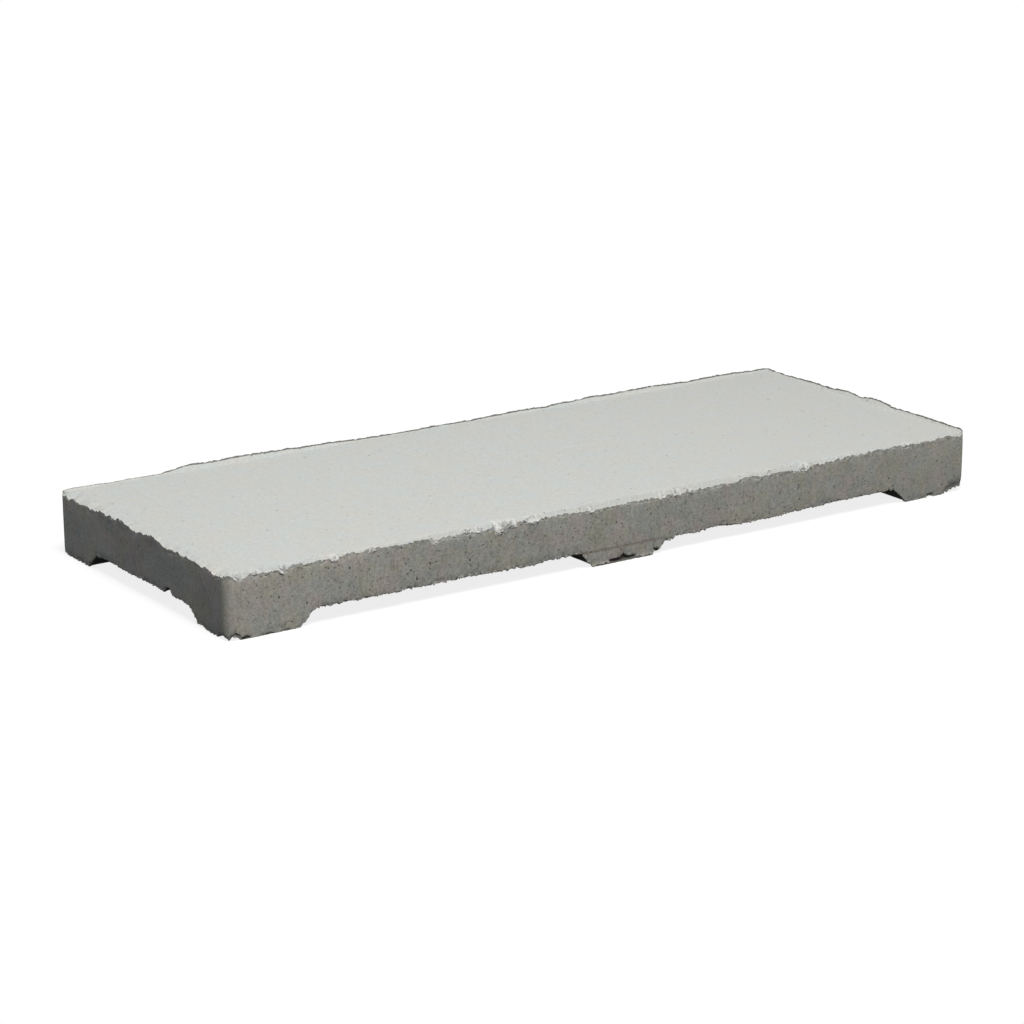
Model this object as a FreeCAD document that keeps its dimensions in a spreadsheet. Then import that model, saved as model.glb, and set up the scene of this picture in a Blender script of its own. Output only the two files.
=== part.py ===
"""Refractory firebrick slab: one pressed and fired piece, a flat plate standing on six low feet.

The plate's long side runs along X, its top is the working face, and the origin lies on the floor
under its middle. The press tool leaves a small draft on the sides. Three channels in the underside
leave the feet standing: one runs along the length, and two run across it.
"""
import FreeCAD, Part
import os
from enum import IntEnum
import Sketcher

# Driving dimensions: millimetres, and degrees for the draft.
SIZES = {
    "slab_length": 305.0,         # working face, along X
    "slab_width": 114.0,          # working face, along Y
    "slab_thickness": 16.5,       # plate between the working face and the underside
    "side_draft": 1.1,            # lean of the four sides, which are wider apart at the working face
    "corner_radius": 1.5,         # upright corners
    "foot_height": 5.5,           # underside to sole
    "corner_foot_length": 26.0,   # end of the working face to the inner edge of a corner foot's sole
    "middle_foot_length": 24.0,   # sole of a foot halfway along a long side
    "foot_width": 18.0,           # long side of the working face to the inner edge of a sole
    "flank_run": 6.0,             # how far a foot's flank spreads between sole and underside
    "flank_corner_radius": 4.0,   # where two flanks of one foot meet
    "flank_root_radius": 1.5,     # rounded hollow between flank and underside
    "sole_edge_radius": 3.0,      # rounded edge between flank and sole
}
OUTPUT_FOLDER = "parts"
SAME_HEIGHT = 1e-4
MM3_PER_CM3 = 1000


class Axis(IntEnum):
    """How a sketch numbers its own two axes."""
    ACROSS = -1
    UPRIGHT = -2


class Point(IntEnum):
    """How a sketch numbers the two ends of a line."""
    START = 1
    END = 2


# A sketch takes its origin for the first point of the axis across.
SKETCH_ORIGIN = (Axis.ACROSS, Point.START)


def make_sheet(doc):
    """Writes the driving dimensions into a spreadsheet, each under its own alias."""
    sheet = doc.addObject("Spreadsheet::Sheet", "sizes")
    for row, (name, value) in enumerate(SIZES.items(), start=1):
        sheet.set(f"A{row}", name)
        sheet.set(f"B{row}", str(value))
        sheet.setAlias(f"B{row}", name)
    doc.recompute()
    return sheet


def base_plane(body, role):
    """One of the body's own base planes."""
    return next(item for item in body.Origin.OriginFeatures if item.Role == role)


def new_sketch(body, plane_role, name):
    """An empty sketch on one of the body's base planes."""
    sketch = body.newObject("Sketcher::SketchObject", name)
    sketch.AttachmentSupport = [(base_plane(body, plane_role), "")]
    sketch.MapMode = "FlatFace"
    return sketch


def start_of(line):
    """The point where a line of a sketch starts."""
    return line, Point.START


def end_of(line):
    """The point where a line of a sketch ends."""
    return line, Point.END


def tie(sketch, kind, *what):
    """A constraint between points, lines or axes of the sketch."""
    sketch.addConstraint(Sketcher.Constraint(kind, *what))


def draw_four_sides(sketch, corners):
    """Four straight lines through the given corners, closed."""
    points = [FreeCAD.Vector(across, up, 0) for across, up in corners]
    lines = []
    for start, end in zip(points, points[1:] + points[:1]):
        lines.append(sketch.addGeometry(Part.LineSegment(start, end), False))
    for line, following in zip(lines, lines[1:] + lines[:1]):
        tie(sketch, "Coincident", *end_of(line), *start_of(following))
    return lines


def drive(sketch, name, expression, kind, first, second):
    """A named dimension from one point of the sketch to another, which the spreadsheet sets."""
    drawn = sketch.getPoint(*second) - sketch.getPoint(*first)
    size = drawn.x if kind == "DistanceX" else drawn.y
    number = sketch.addConstraint(Sketcher.Constraint(kind, *first, *second, size))
    sketch.renameConstraint(number, name)
    sketch.setExpression(f"Constraints.{name}", expression)


def working_face_outline(body, sheet):
    """Outline of the working face, as high above the floor as the whole slab stands."""
    sketch = new_sketch(body, "XY_Plane", "working_face_outline")
    sketch.setExpression("AttachmentOffset.Base.z", "sizes.slab_thickness + sizes.foot_height")
    half_length = sheet.slab_length / 2
    half_width = sheet.slab_width / 2
    front, right, back, left = draw_four_sides(sketch, [
        (-half_length, -half_width), (half_length, -half_width),
        (half_length, half_width), (-half_length, half_width)])
    for level, upright in ((front, right), (back, left)):
        tie(sketch, "Horizontal", level)
        tie(sketch, "Vertical", upright)
    tie(sketch, "Symmetric", *start_of(front), *end_of(right), *SKETCH_ORIGIN)
    drive(sketch, "length", "sizes.slab_length", "DistanceX", start_of(front), end_of(front))
    drive(sketch, "width", "sizes.slab_width", "DistanceY", start_of(right), end_of(right))
    return sketch


def lengthwise_channel_outline(body, sheet):
    """Section of the channel between the two rows of feet, seen along the length."""
    sketch = new_sketch(body, "YZ_Plane", "lengthwise_channel_outline")
    half_mouth = sheet.slab_width / 2 - sheet.foot_width
    half_roof = half_mouth - sheet.flank_run
    sole, flank, underside, _ = draw_four_sides(sketch, [
        (-half_mouth, 0), (half_mouth, 0), (half_roof, sheet.foot_height), (-half_roof, sheet.foot_height)])
    tie(sketch, "PointOnObject", *start_of(sole), Axis.ACROSS)
    for level in (sole, underside):
        tie(sketch, "Symmetric", *start_of(level), *end_of(level), Axis.UPRIGHT)
    mouth = "sizes.slab_width - 2 * sizes.foot_width"
    roof = f"{mouth} - 2 * sizes.flank_run"
    drive(sketch, "mouth", mouth, "DistanceX", start_of(sole), end_of(sole))
    drive(sketch, "roof", roof, "DistanceX", end_of(underside), start_of(underside))
    drive(sketch, "height", "sizes.foot_height", "DistanceY", start_of(flank), end_of(flank))
    return sketch


def crosswise_channel_outline(body, sheet):
    """Section of the channel between a middle foot and a corner foot, seen across the width."""
    sketch = new_sketch(body, "XZ_Plane", "crosswise_channel_outline")
    near = sheet.middle_foot_length / 2
    far = sheet.slab_length / 2 - sheet.corner_foot_length
    run = sheet.flank_run
    sole, flank, underside, _ = draw_four_sides(sketch, [
        (near, 0), (far, 0), (far - run, sheet.foot_height), (near + run, sheet.foot_height)])
    tie(sketch, "PointOnObject", *start_of(sole), Axis.ACROSS)
    for level in (sole, underside):
        tie(sketch, "Horizontal", level)
    outer = "sizes.slab_length / 2 - sizes.corner_foot_length"
    drive(sketch, "inner", "sizes.middle_foot_length / 2", "DistanceX", SKETCH_ORIGIN, start_of(sole))
    drive(sketch, "outer", outer, "DistanceX", SKETCH_ORIGIN, end_of(sole))
    drive(sketch, "inner_run", "sizes.flank_run", "DistanceX", start_of(sole), end_of(underside))
    drive(sketch, "outer_run", "sizes.flank_run", "DistanceX", start_of(underside), end_of(sole))
    drive(sketch, "height", "sizes.foot_height", "DistanceY", start_of(flank), end_of(flank))
    return sketch


def heights(shape):
    """Lowest and highest corner point of an edge or a face."""
    values = [vertex.Z for vertex in shape.Vertexes]
    return min(values), max(values)


def lies_between(shape, low, high):
    """True of an edge or a face that reaches exactly from one height to the other."""
    lowest, highest = heights(shape)
    return abs(lowest - low) < SAME_HEIGHT and abs(highest - high) < SAME_HEIGHT


def names_between(kind, shapes, low, high):
    """Names, such as Face3, of the faces or edges that reach from one height to the other."""
    numbered = enumerate(shapes, start=1)
    return [f"{kind}{number}" for number, shape in numbered if lies_between(shape, low, high)]


def inner_edge_names(shape, full_height, low, high):
    """Edges between two heights that belong to none of the sides, and so lie under the plate."""
    sides = [face for face in shape.Faces if abs(heights(face)[1] - full_height) < SAME_HEIGHT]
    side_edges = [edge for face in sides for edge in face.Edges]
    names = []
    for number, edge in enumerate(shape.Edges, start=1):
        on_a_side = any(edge.isSame(other) for other in side_edges)
        if lies_between(edge, low, high) and not on_a_side:
            names.append(f"Edge{number}")
    return names


def pad_block(body, sheet):
    """The block that holds the plate and the feet, padded down from the working face."""
    pad = body.newObject("PartDesign::Pad", "block")
    pad.Profile = working_face_outline(body, sheet)
    pad.Reversed = True
    pad.setExpression("Length", "sizes.slab_thickness + sizes.foot_height")


def draft_sides(body, full_height):
    """Leans the four sides inwards below the working face, which keeps its size."""
    block = body.Tip
    faces = block.Shape.Faces
    draft = body.newObject("PartDesign::Draft", "drafted_sides")
    draft.Base = (block, names_between("Face", faces, 0, full_height))
    draft.NeutralPlane = (block, names_between("Face", faces, full_height, full_height))
    draft.Reversed = True
    draft.setExpression("Angle", "sizes.side_draft")


def cut_channel(body, outline, name):
    """A channel of the given section, right through the block both ways."""
    pocket = body.newObject("PartDesign::Pocket", name)
    pocket.Profile = outline
    pocket.SideType = "Symmetric"
    pocket.Type = "ThroughAll"
    return pocket


def mirror_channel(body, channel, name):
    """The same channel on the other side of the middle feet."""
    mirrored = body.newObject("PartDesign::Mirrored", name)
    mirrored.Originals = [channel]
    mirrored.MirrorPlane = (base_plane(body, "YZ_Plane"), [""])
    body.Tip = mirrored


def round_edges(body, name, radius, edge_names):
    """Rounds the named edges of the body as it stands, to a radius that the spreadsheet gives."""
    base = body.Tip
    fillet = body.newObject("PartDesign::Fillet", name)
    fillet.Base = (base, edge_names)
    fillet.setExpression("Radius", f"sizes.{radius}")


def build_firebrick(doc, sheet):
    """The whole piece: drafted block with round corners, three channels, then the rounded feet."""
    body = doc.addObject("PartDesign::Body", "firebrick")
    body.Label = "firebrick"
    foot_height = sheet.foot_height
    full_height = sheet.slab_thickness + foot_height

    pad_block(body, sheet)
    doc.recompute()
    draft_sides(body, full_height)
    doc.recompute()
    corners = names_between("Edge", body.Tip.Shape.Edges, 0, full_height)
    round_edges(body, "upright_corners", "corner_radius", corners)

    cut_channel(body, lengthwise_channel_outline(body, sheet), "lengthwise_channel")
    crosswise = cut_channel(body, crosswise_channel_outline(body, sheet), "crosswise_channel")
    mirror_channel(body, crosswise, "other_crosswise_channel")

    rounded = (
        ("flank_corners", "flank_corner_radius", 0, foot_height),
        ("flank_roots", "flank_root_radius", foot_height, foot_height),
        ("sole_edges", "sole_edge_radius", 0, 0),
    )
    for name, radius, low, high in rounded:
        doc.recompute()
        round_edges(body, name, radius, inner_edge_names(body.Tip.Shape, full_height, low, high))
    doc.recompute()
    return body


def check(doc, bodies):
    """Stops if any object failed to compute or a piece isn't one sound solid."""
    for item in doc.Objects:
        if {"Invalid", "Error"} & set(item.State):
            raise RuntimeError(f"{item.Label} failed to compute")
    for body in bodies:
        if body.Shape.isNull() or not body.Shape.isValid() or len(body.Shape.Solids) != 1:
            raise RuntimeError(f"{body.Label} isn't one sound solid")


def main():
    """Builds the firebrick and writes it as a STEP file."""
    doc = FreeCAD.newDocument("firebrick_slab")
    bodies = [build_firebrick(doc, make_sheet(doc))]
    check(doc, bodies)
    os.makedirs(OUTPUT_FOLDER, exist_ok=True)
    for body in bodies:
        body.Shape.exportStep(os.path.join(OUTPUT_FOLDER, f"{body.Label}.step"))
        volume = body.Shape.Volume / MM3_PER_CM3
        print(f"{body.Label}: {volume:.1f} cm3, {len(body.Shape.Faces)} faces")


if __name__ == "__main__":
    main()
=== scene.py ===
"""Dress a pressed refractory slab on six low feet: worn clay body, rim crumbs, studio and camera.

Lengths are in millimetres unless a name says metres. Finished meshes are in metres.
"""
import itertools
import logging
import math
from dataclasses import dataclass, field
from enum import Enum

import bpy
import numpy as np
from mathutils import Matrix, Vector
from mathutils.geometry import delaunay_2d_cdt


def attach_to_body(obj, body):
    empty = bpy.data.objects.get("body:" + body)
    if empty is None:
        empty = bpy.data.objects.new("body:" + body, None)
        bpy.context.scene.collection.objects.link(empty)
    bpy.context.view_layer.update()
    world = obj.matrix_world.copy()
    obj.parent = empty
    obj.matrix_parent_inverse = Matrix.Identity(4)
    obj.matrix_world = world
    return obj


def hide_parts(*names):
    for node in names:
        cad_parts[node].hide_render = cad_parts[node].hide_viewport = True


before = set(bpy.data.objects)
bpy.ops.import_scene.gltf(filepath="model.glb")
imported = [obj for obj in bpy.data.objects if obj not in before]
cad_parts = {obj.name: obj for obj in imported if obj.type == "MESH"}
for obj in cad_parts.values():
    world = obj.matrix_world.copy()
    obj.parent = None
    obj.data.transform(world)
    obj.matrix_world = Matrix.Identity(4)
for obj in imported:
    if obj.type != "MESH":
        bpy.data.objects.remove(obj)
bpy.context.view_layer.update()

MM = 0.001
NODE = "firebrick"
BODY = "root"
LOG = logging.getLogger("firebrick")

# Odd factors that scatter neighbouring cells and seeds, and the bits that are kept.
CELL_FACTORS = np.array([73856093, 19349663, 83492791])
SEED_FACTOR = 2654435761
MIX_FACTOR = 1274126177
KEPT_BITS = 0x7FFFFFFF
TOP_VALUE = 0xFFFF

# Values of the edge mark: on the burr, and on the underside, which the sides stay well below.
BURR_EDGE = 0.5
UNDER_EDGE = 30.0

# A distance larger than the slab, and one smaller than any step of its mesh.
FAR = 1000.0
SLACK = 0.05

Colour = tuple[float, float, float]
# Places along an edge, from its lower coordinate up, each with an amount.
Profile = tuple[tuple[float, float], ...]


class Edge(Enum):
    """The four sides of the slab in plan, each with its outward direction."""

    FRONT = (0.0, -1.0)
    RIGHT = (1.0, 0.0)
    BACK = (0.0, 1.0)
    LEFT = (-1.0, 0.0)


class Rim(Enum):
    """The two edges that run round the slab, with the way that leads away from the clay."""

    UPPER = 1.0
    LOWER = -1.0


class Region(Enum):
    """The three parts of the slab's surface."""

    WALL = 0
    FACE = 1
    UNDERSIDE = 2


def ease(values: np.ndarray, low: float, high: float) -> np.ndarray:
    """Go smoothly from 0 at low to 1 at high.

    Args:
        values: numbers to map.
        low: where the result leaves 0.
        high: where the result reaches 1.

    Returns:
        The mapped numbers.
    """
    share = np.clip((values - low) / (high - low), 0.0, 1.0)
    return share * share * (3.0 - 2.0 * share)


def bank(height: np.ndarray, away: np.ndarray, steepness: float | np.ndarray,
         rounding: float = 0.25) -> np.ndarray:
    """Height of a bank that slopes off evenly and ends in a small curve.

    Args:
        height: how high the bank is at its edge.
        away: how far each point is from that edge.
        steepness: fall of the slope over its run.
        rounding: half the height over which the foot of the slope bends.

    Returns:
        The height at each point, never below 0.
    """
    left = height - steepness * away
    bend = np.maximum(left + rounding, 0.0) ** 2 / (4 * rounding)
    return np.where(left > rounding, left, bend) * (height > 0.0)


@dataclass(frozen=True)
class ClayNoise:
    """Repeatable noise in space, so that wear follows the clay and not the mesh."""

    seed: int
    finer_weight: float = 0.6
    bite_radius: float = 0.7

    def hashed(self, cells: np.ndarray) -> np.ndarray:
        """Give each whole-number cell a fixed number from 0 to 1.

        Args:
            cells: rows of three whole numbers.

        Returns:
            One number for each row.
        """
        mixed = np.bitwise_xor.reduce(cells * CELL_FACTORS, axis=1)
        mixed = (mixed ^ self.seed * SEED_FACTOR) & KEPT_BITS
        mixed = ((mixed ^ mixed >> 13) * MIX_FACTOR) & KEPT_BITS
        mixed = mixed ^ mixed >> 16
        return (mixed & TOP_VALUE) / TOP_VALUE

    def value(self, points: np.ndarray, size: float) -> np.ndarray:
        """Smooth noise from 0 to 1.

        Args:
            points: places in space.
            size: the width of one lump.

        Returns:
            One number for each point.
        """
        scaled = points / size
        base = np.floor(scaled).astype(np.int64)
        share = scaled - base
        share = share * share * (3.0 - 2.0 * share)
        total = np.zeros(len(points))
        for corner in itertools.product((0, 1), repeat=3):
            weight = np.prod(np.where(corner, share, 1.0 - share), axis=1)
            total += weight * self.hashed(base + np.array(corner))
        return total

    def layered(self, points: np.ndarray, size: float, layers: int) -> np.ndarray:
        """Sum of finer and finer noise, from 0 to 1.

        Args:
            points: places in space.
            size: the width of the largest lumps.
            layers: how many sizes are summed, each half the one before.

        Returns:
            One number for each point.
        """
        total = np.zeros(len(points))
        weight = 0.0
        for layer in range(layers):
            share = self.finer_weight ** layer
            total += share * ClayNoise(self.seed + 17 * layer).value(points, size / 2 ** layer)
            weight += share
        return total / weight

    def grains(self, points: np.ndarray, size: float) -> np.ndarray:
        """Distance to the nearest of a cloud of grain centres, in grain sizes.

        Args:
            points: places in space.
            size: the mean distance between grains.

        Returns:
            One number for each point, 0 at a grain's centre and about 0.6 between grains.
        """
        scaled = points / size
        base = np.floor(scaled).astype(np.int64)
        nearest = np.full(len(points), FAR)
        for offset in itertools.product((-1, 0, 1), repeat=3):
            cells = base + np.array(offset)
            jitter = [ClayNoise(self.seed + k).hashed(cells) for k in (101, 202, 303)]
            gap = np.linalg.norm(cells + np.stack(jitter, axis=1) - scaled, axis=1)
            nearest = np.minimum(nearest, gap)
        return nearest

    def bites(self, points: np.ndarray, size: float) -> np.ndarray:
        """Rounded hollows that meet in sharp cusps.

        Args:
            points: places in space.
            size: the mean distance between hollows.

        Returns:
            One number for each point, 1 in the middle of a hollow and 0 on the cusps.
        """
        return np.maximum(1.0 - (self.grains(points, size) / self.bite_radius) ** 2, 0.0)


@dataclass(frozen=True)
class SlabForm:
    """The slab as it was pressed: sizes and the rules of its plan and underside."""

    length: float = 305.0
    width: float = 114.0
    thickness: float = 16.5
    foot_height: float = 5.5
    draft_deg: float = 1.1
    corner_radii: tuple[float, float, float, float] = (0.6, 1.5, 0.5, 3.4)
    corner_foot_length: float = 26.0
    middle_foot_length: float = 24.0
    foot_width: float = 18.0
    flank_run: float = 6.0
    flank_corner_radius: float = 4.0
    root_radius: float = 1.5
    sole_radius: float = 3.0

    @property
    def height(self) -> float:
        """Height of the working face above the floor."""
        return self.thickness + self.foot_height

    @property
    def lean(self) -> float:
        """How far a side leans in for each millimetre that it goes down."""
        return math.tan(math.radians(self.draft_deg))

    def ring(self, inset: float, step: float) -> tuple[np.ndarray, np.ndarray]:
        """Walk round the plan, front first, and then to the left as seen from above.

        Args:
            inset: how far inside the outline the walk is.
            step: distance between two points.

        Returns:
            The points, and at each of them the outward direction.
        """
        half = np.array([self.length, self.width]) / 2 - inset
        radii = [max(radius - inset, 0.0) for radius in self.corner_radii]
        places = []
        outwards = []
        for number, edge in enumerate(Edge):
            outward = np.array(edge.value)
            along = np.array([-outward[1], outward[0]])
            reach = abs(half @ along)
            middle = outward * abs(half @ outward)
            start = radii[number - 1] - reach
            stop = reach - radii[number]
            count = max(round((stop - start) / step), 1)
            run = np.linspace(start, stop, count + 1)[:-1]
            places.append(middle + np.outer(run, along))
            outwards.append(np.tile(outward, (count, 1)))
            centre = middle + along * reach - (outward + along) * radii[number]
            turns = max(round(radii[number] * math.pi / 2 / step), 1)
            angles = math.radians(90 * number - 90) + np.arange(turns) * math.pi / 2 / turns
            around = np.stack([np.cos(angles), np.sin(angles)], axis=1)
            places.append(centre + radii[number] * around)
            outwards.append(around)
        return np.concatenate(places), np.concatenate(outwards)

    def inset(self, plan: np.ndarray) -> tuple[np.ndarray, np.ndarray]:
        """How far inside the outline points lie.

        Args:
            plan: x and y of the points.

        Returns:
            The distances, and the outward direction at the nearest stretch of outline.
        """
        half = np.array([self.length, self.width]) / 2
        gap = half - np.abs(plan)
        sides = np.where(plan < 0, -1.0, 1.0)
        nearest = np.argmin(gap, axis=1)
        outward = np.zeros_like(plan)
        rows = np.arange(len(plan))
        outward[rows, nearest] = sides[rows, nearest]
        distance = gap[rows, nearest]
        right = plan[:, 0] > 0
        back = plan[:, 1] > 0
        *others, near_left = self.corner_radii
        radius = np.select([right & ~back, right & back, ~right & back], others, near_left)
        past = radius[:, None] - gap
        in_corner = np.all(past > 0, axis=1)
        reach = np.linalg.norm(past[in_corner], axis=1)
        distance[in_corner] = radius[in_corner] - reach
        outward[in_corner] = sides[in_corner] * past[in_corner] / reach[:, None]
        return distance, outward

    def foot_gap(self, plan: np.ndarray) -> np.ndarray:
        """Distance in plan from the nearest foot's sole, below 0 on the foot.

        Args:
            plan: x and y of the points.

        Returns:
            One distance for each point.
        """
        across = np.abs(plan)
        beside = self.width / 2 - self.foot_width - across[:, 1]
        corner = self.length / 2 - self.corner_foot_length - across[:, 0]
        middle = across[:, 0] - self.middle_foot_length / 2
        radius = self.flank_corner_radius
        gaps = []
        for along in (corner, middle):
            gap = np.maximum(along, beside)
            apart = along - beside
            rounded = np.abs(apart) < radius
            chord = np.sqrt(np.maximum(2 * radius ** 2 - apart ** 2, 0.0))
            around = (along + beside + 2 * radius - chord) / 2
            gaps.append(np.where(rounded, around, gap))
        return np.minimum(*gaps)

    def underside(self, plan: np.ndarray) -> np.ndarray:
        """Height of the underside: soles, rounded flanks and the flat between the feet.

        Args:
            plan: x and y of the points.

        Returns:
            One height for each point.
        """
        gap = self.foot_gap(plan)
        slope = math.atan2(self.foot_height, self.flank_run)
        sole_reach = self.sole_radius * math.tan(slope / 2)
        root_reach = self.root_radius * math.tan(slope / 2)
        level = gap * self.foot_height / self.flank_run
        on_sole = np.clip(gap + sole_reach, 0.0, self.sole_radius)
        sole = self.sole_radius - np.sqrt(self.sole_radius ** 2 - on_sole ** 2)
        on_root = np.clip(self.flank_run + root_reach - gap, 0.0, self.root_radius)
        drop = self.root_radius - np.sqrt(self.root_radius ** 2 - on_root ** 2)
        level = np.where(gap < sole_reach * math.cos(slope), sole, level)
        from_root = gap > self.flank_run - root_reach * math.cos(slope)
        return np.where(from_root, self.foot_height - drop, level)


@dataclass
class ClaySurface:
    """Points of the slab's surface with what the wear needs to know about each."""

    place: np.ndarray
    outward: np.ndarray
    inset: np.ndarray
    below_face: np.ndarray
    above_edge: np.ndarray
    region: np.ndarray

    def share(self, edge: Edge) -> np.ndarray:
        """How much of each point belongs to an edge, from 0 to 1, 1 in all."""
        return np.maximum(self.outward @ np.array(edge.value), 0.0) ** 2

    def spread(self, amounts: dict[Edge, float]) -> np.ndarray:
        """Give each point the amount of its own edge.

        Args:
            amounts: one amount for each edge.

        Returns:
            One amount for each point, blended round the corners.
        """
        return sum(self.share(edge) * amount for edge, amount in amounts.items())

    def follow(self, profiles: dict[Edge, Profile]) -> np.ndarray:
        """Give each point the amount that its edge's profile has beside it.

        Args:
            profiles: the edges that have a profile.

        Returns:
            One amount for each point, blended round the corners and 0 on other edges.
        """
        total = np.zeros(len(self.place))
        for edge, profile in profiles.items():
            along = self.place[:, 0] if edge in (Edge.FRONT, Edge.BACK) else self.place[:, 1]
            total += self.share(edge) * np.interp(along, *zip(*profile))
        return total

    def from_rim(self, rim: Rim) -> np.ndarray:
        """Distance over the surface from a rim, large where the rim is far away."""
        down = self.below_face if rim is Rim.UPPER else self.above_edge
        return self.inset + down


@dataclass(frozen=True)
class RimWear:
    """How a rim has crumbled: worn down along its edges, scalloped and bitten, its arris broken."""

    rim: Rim
    sink: dict[Edge, Profile]
    scallop: dict[Edge, float]
    bite: dict[Edge, float]
    bevel: dict[Edge, float]
    steepness: dict[Edge, float]
    scallop_length: float
    cap_reach: float
    wall_reach: float
    bite_reach: float
    grain: float
    seed: int
    small_share: float = 0.37
    tiny_share: float = 0.24
    patch_share: float = 3.0
    rim_depth: float = 1.0
    mean_grain_gap: float = 0.45
    bevel_lump: float = 5.0

    def hollows(self, clay: ClaySurface) -> np.ndarray:
        """Depth of the scallops along the rim.

        Args:
            clay: the surface that wears.

        Returns:
            One number for each point, 0 on the cusps and up to 1 in the hollows.
        """
        along = clay.place * np.array([1.0, 1.0, 0.3])
        along[:, :2] += clay.outward * clay.inset[:, None]
        large = ClayNoise(self.seed).bites(along, self.scallop_length)
        small = ClayNoise(self.seed + 1).bites(along, self.scallop_length * self.small_share)
        tiny = ClayNoise(self.seed + 5).bites(along, self.scallop_length * self.tiny_share)
        patches = ClayNoise(self.seed + 2).layered(along, self.scallop_length * self.patch_share, 3)
        patchy = ease(patches, 0.3, 0.7)
        return (0.2 * large + 0.4 * small) * (0.35 + 0.65 * patchy) + 0.4 * tiny

    def apply(self, clay: ClaySurface) -> np.ndarray:
        """Wear the rim.

        Args:
            clay: the surface, which is changed in place.

        Returns:
            How much of each point is broken clay, from 0 to 1.
        """
        hollow = self.hollows(clay)
        wall = clay.region == Region.WALL.value
        down = clay.below_face if self.rim is Rim.UPPER else clay.above_edge
        at_rim = down < self.rim_depth
        cap = ease(-clay.inset, -self.cap_reach, 0.0) * at_rim
        behind = np.where(wall, ease(-down, -self.bite_reach, 0.0), cap)
        depth = clay.follow(self.sink) + clay.spread(self.scallop) * hollow
        slope = bank(depth, clay.inset, clay.spread(self.steepness)) * at_rim
        slope += cap * np.minimum(depth, 0.0)
        lowered = np.where(wall, ease(-down, -self.wall_reach, 0.0) * depth, slope)
        bitten = clay.spread(self.bite) * hollow
        grains = ClayNoise(self.seed + 7).grains(clay.place, self.grain) - self.mean_grain_gap
        fine = ClayNoise(self.seed + 8).layered(clay.place, self.bevel_lump, 3)
        bevel = clay.spread(self.bevel) * (0.5 + 1.6 * ease(fine, 0.4, 0.7)) * (1.0 + 1.1 * grains)
        over = np.maximum(bevel - clay.from_rim(self.rim), 0.0)
        clay.place[:, :2] -= clay.outward * (behind * bitten + over / 2)[:, None]
        clay.place[:, 2] -= self.rim.value * (lowered + over / 2)
        return ease(over, 0.05, 0.5)


@dataclass(frozen=True)
class Chip:
    """A place where the clay was knocked in or squeezed out, with a rough bottom where it broke."""

    centre: tuple[float, float, float]
    radii: tuple[float, float, float]
    push: tuple[float, float, float]
    break_and_shade: float = 1.0
    abrupt: float = 1.6

    def apply(self, clay: ClaySurface, rough: np.ndarray) -> np.ndarray:
        """Move the surface.

        Args:
            clay: the surface, which is changed in place.
            rough: noise around 1 that breaks up the hollow.

        Returns:
            How much of each point is broken clay, from 0 to 1, or below 0 where painted shade darkens it.
        """
        apart = (clay.place - np.array(self.centre)) / np.array(self.radii)
        depth = np.maximum(1.0 - np.sum(apart ** 2, axis=1), 0.0)
        uneven = rough if self.break_and_shade else 1.0
        clay.place += np.outer(np.minimum(depth * self.abrupt, 1.0) * uneven, self.push)
        return self.break_and_shade * ease(depth, 0.05, 0.3)


@dataclass(frozen=True)
class FlashLip:
    """The flash that the press left along the face: a lip with a fine burr, and broken teeth."""

    crest: dict[Edge, Profile]
    teeth: dict[Edge, float]
    burr: dict[Edge, Profile]
    unevenness: float = 0.5
    lump: float = 7.0
    steepness: float = 1.4
    fin_run: float = 0.3
    fin_lean: float = 0.7
    burr_lump: float = 1.8
    root: float = 3.5
    hang_reach: float = 3.0
    overhang: float = 0.15
    seed: int = 31

    def apply(self, clay: ClaySurface) -> np.ndarray:
        """Raise the lip and its burr.

        Args:
            clay: the surface, which is changed in place.

        Returns:
            How much of each point belongs to a rim with a burr, from 0 to 1.
        """
        along = clay.place * np.array([1.0, 1.0, 0.0])
        shares = sum(clay.share(edge) for edge in self.burr)
        lumps = ClayNoise(self.seed).layered(along, self.lump, 4) - 0.5
        crest = np.maximum(clay.follow(self.crest) + self.unevenness * lumps * shares, 0.0)
        face = clay.region == Region.FACE.value
        behind = np.maximum(clay.inset - self.fin_run, 0.0)
        slope = bank(crest, behind, self.steepness)
        down = ease(-clay.below_face, -self.root, 0.0)
        arris = clay.from_rim(Rim.UPPER) < SLACK
        beside = face & (clay.inset < self.fin_run + SLACK)
        fine = ClayNoise(self.seed + 1).layered(along, self.burr_lump, 3)
        fin = clay.follow(self.burr) * (0.3 + 1.4 * fine)
        fin += clay.spread(self.teeth) * ease(fine, 0.42, 0.68)
        clay.place[:, 2] += np.where(face, slope, crest * down) + fin * arris
        hang = np.where(face, ease(-clay.inset, -self.hang_reach, 0.0), down)
        outward = self.overhang * crest * hang + self.fin_lean * self.fin_run * shares * beside
        clay.place[:, :2] += clay.outward * outward[:, None]
        return shares


@dataclass(frozen=True)
class Spall:
    """A place where the front rim has crumbled to a rough slope of pale clay."""

    x: float
    half_width: float
    drop: float
    run: float = 1.2
    lump: float = 0.35
    raggedness: float = 0.5

    def apply(self, clay: ClaySurface, chunks: np.ndarray) -> np.ndarray:
        """Let the rim sink to a rough slope.

        Args:
            clay: the surface, which is changed in place.
            chunks: 1 in the middle of a chunk, and falling to below 0 between chunks.

        Returns:
            How much of each point is rubble, from 0 to 1.
        """
        reach = self.drop + self.run
        off = np.abs(clay.place[:, 0] - self.x) - self.raggedness * chunks
        beside = ease(-off, -self.half_width, -0.5 * self.half_width) * clay.share(Edge.FRONT)
        down = np.where(clay.region == Region.FACE.value, clay.inset, clay.below_face)
        rubble = beside * ease(-down, -reach, -0.4 * reach)
        sunk = beside * ease(-down, -reach, 0.0) * self.drop
        clay.place[:, 2] += rubble * self.lump * chunks - sunk
        clay.place[:, :2] += clay.outward * (rubble * self.lump * chunks)[:, None]
        return rubble


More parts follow.
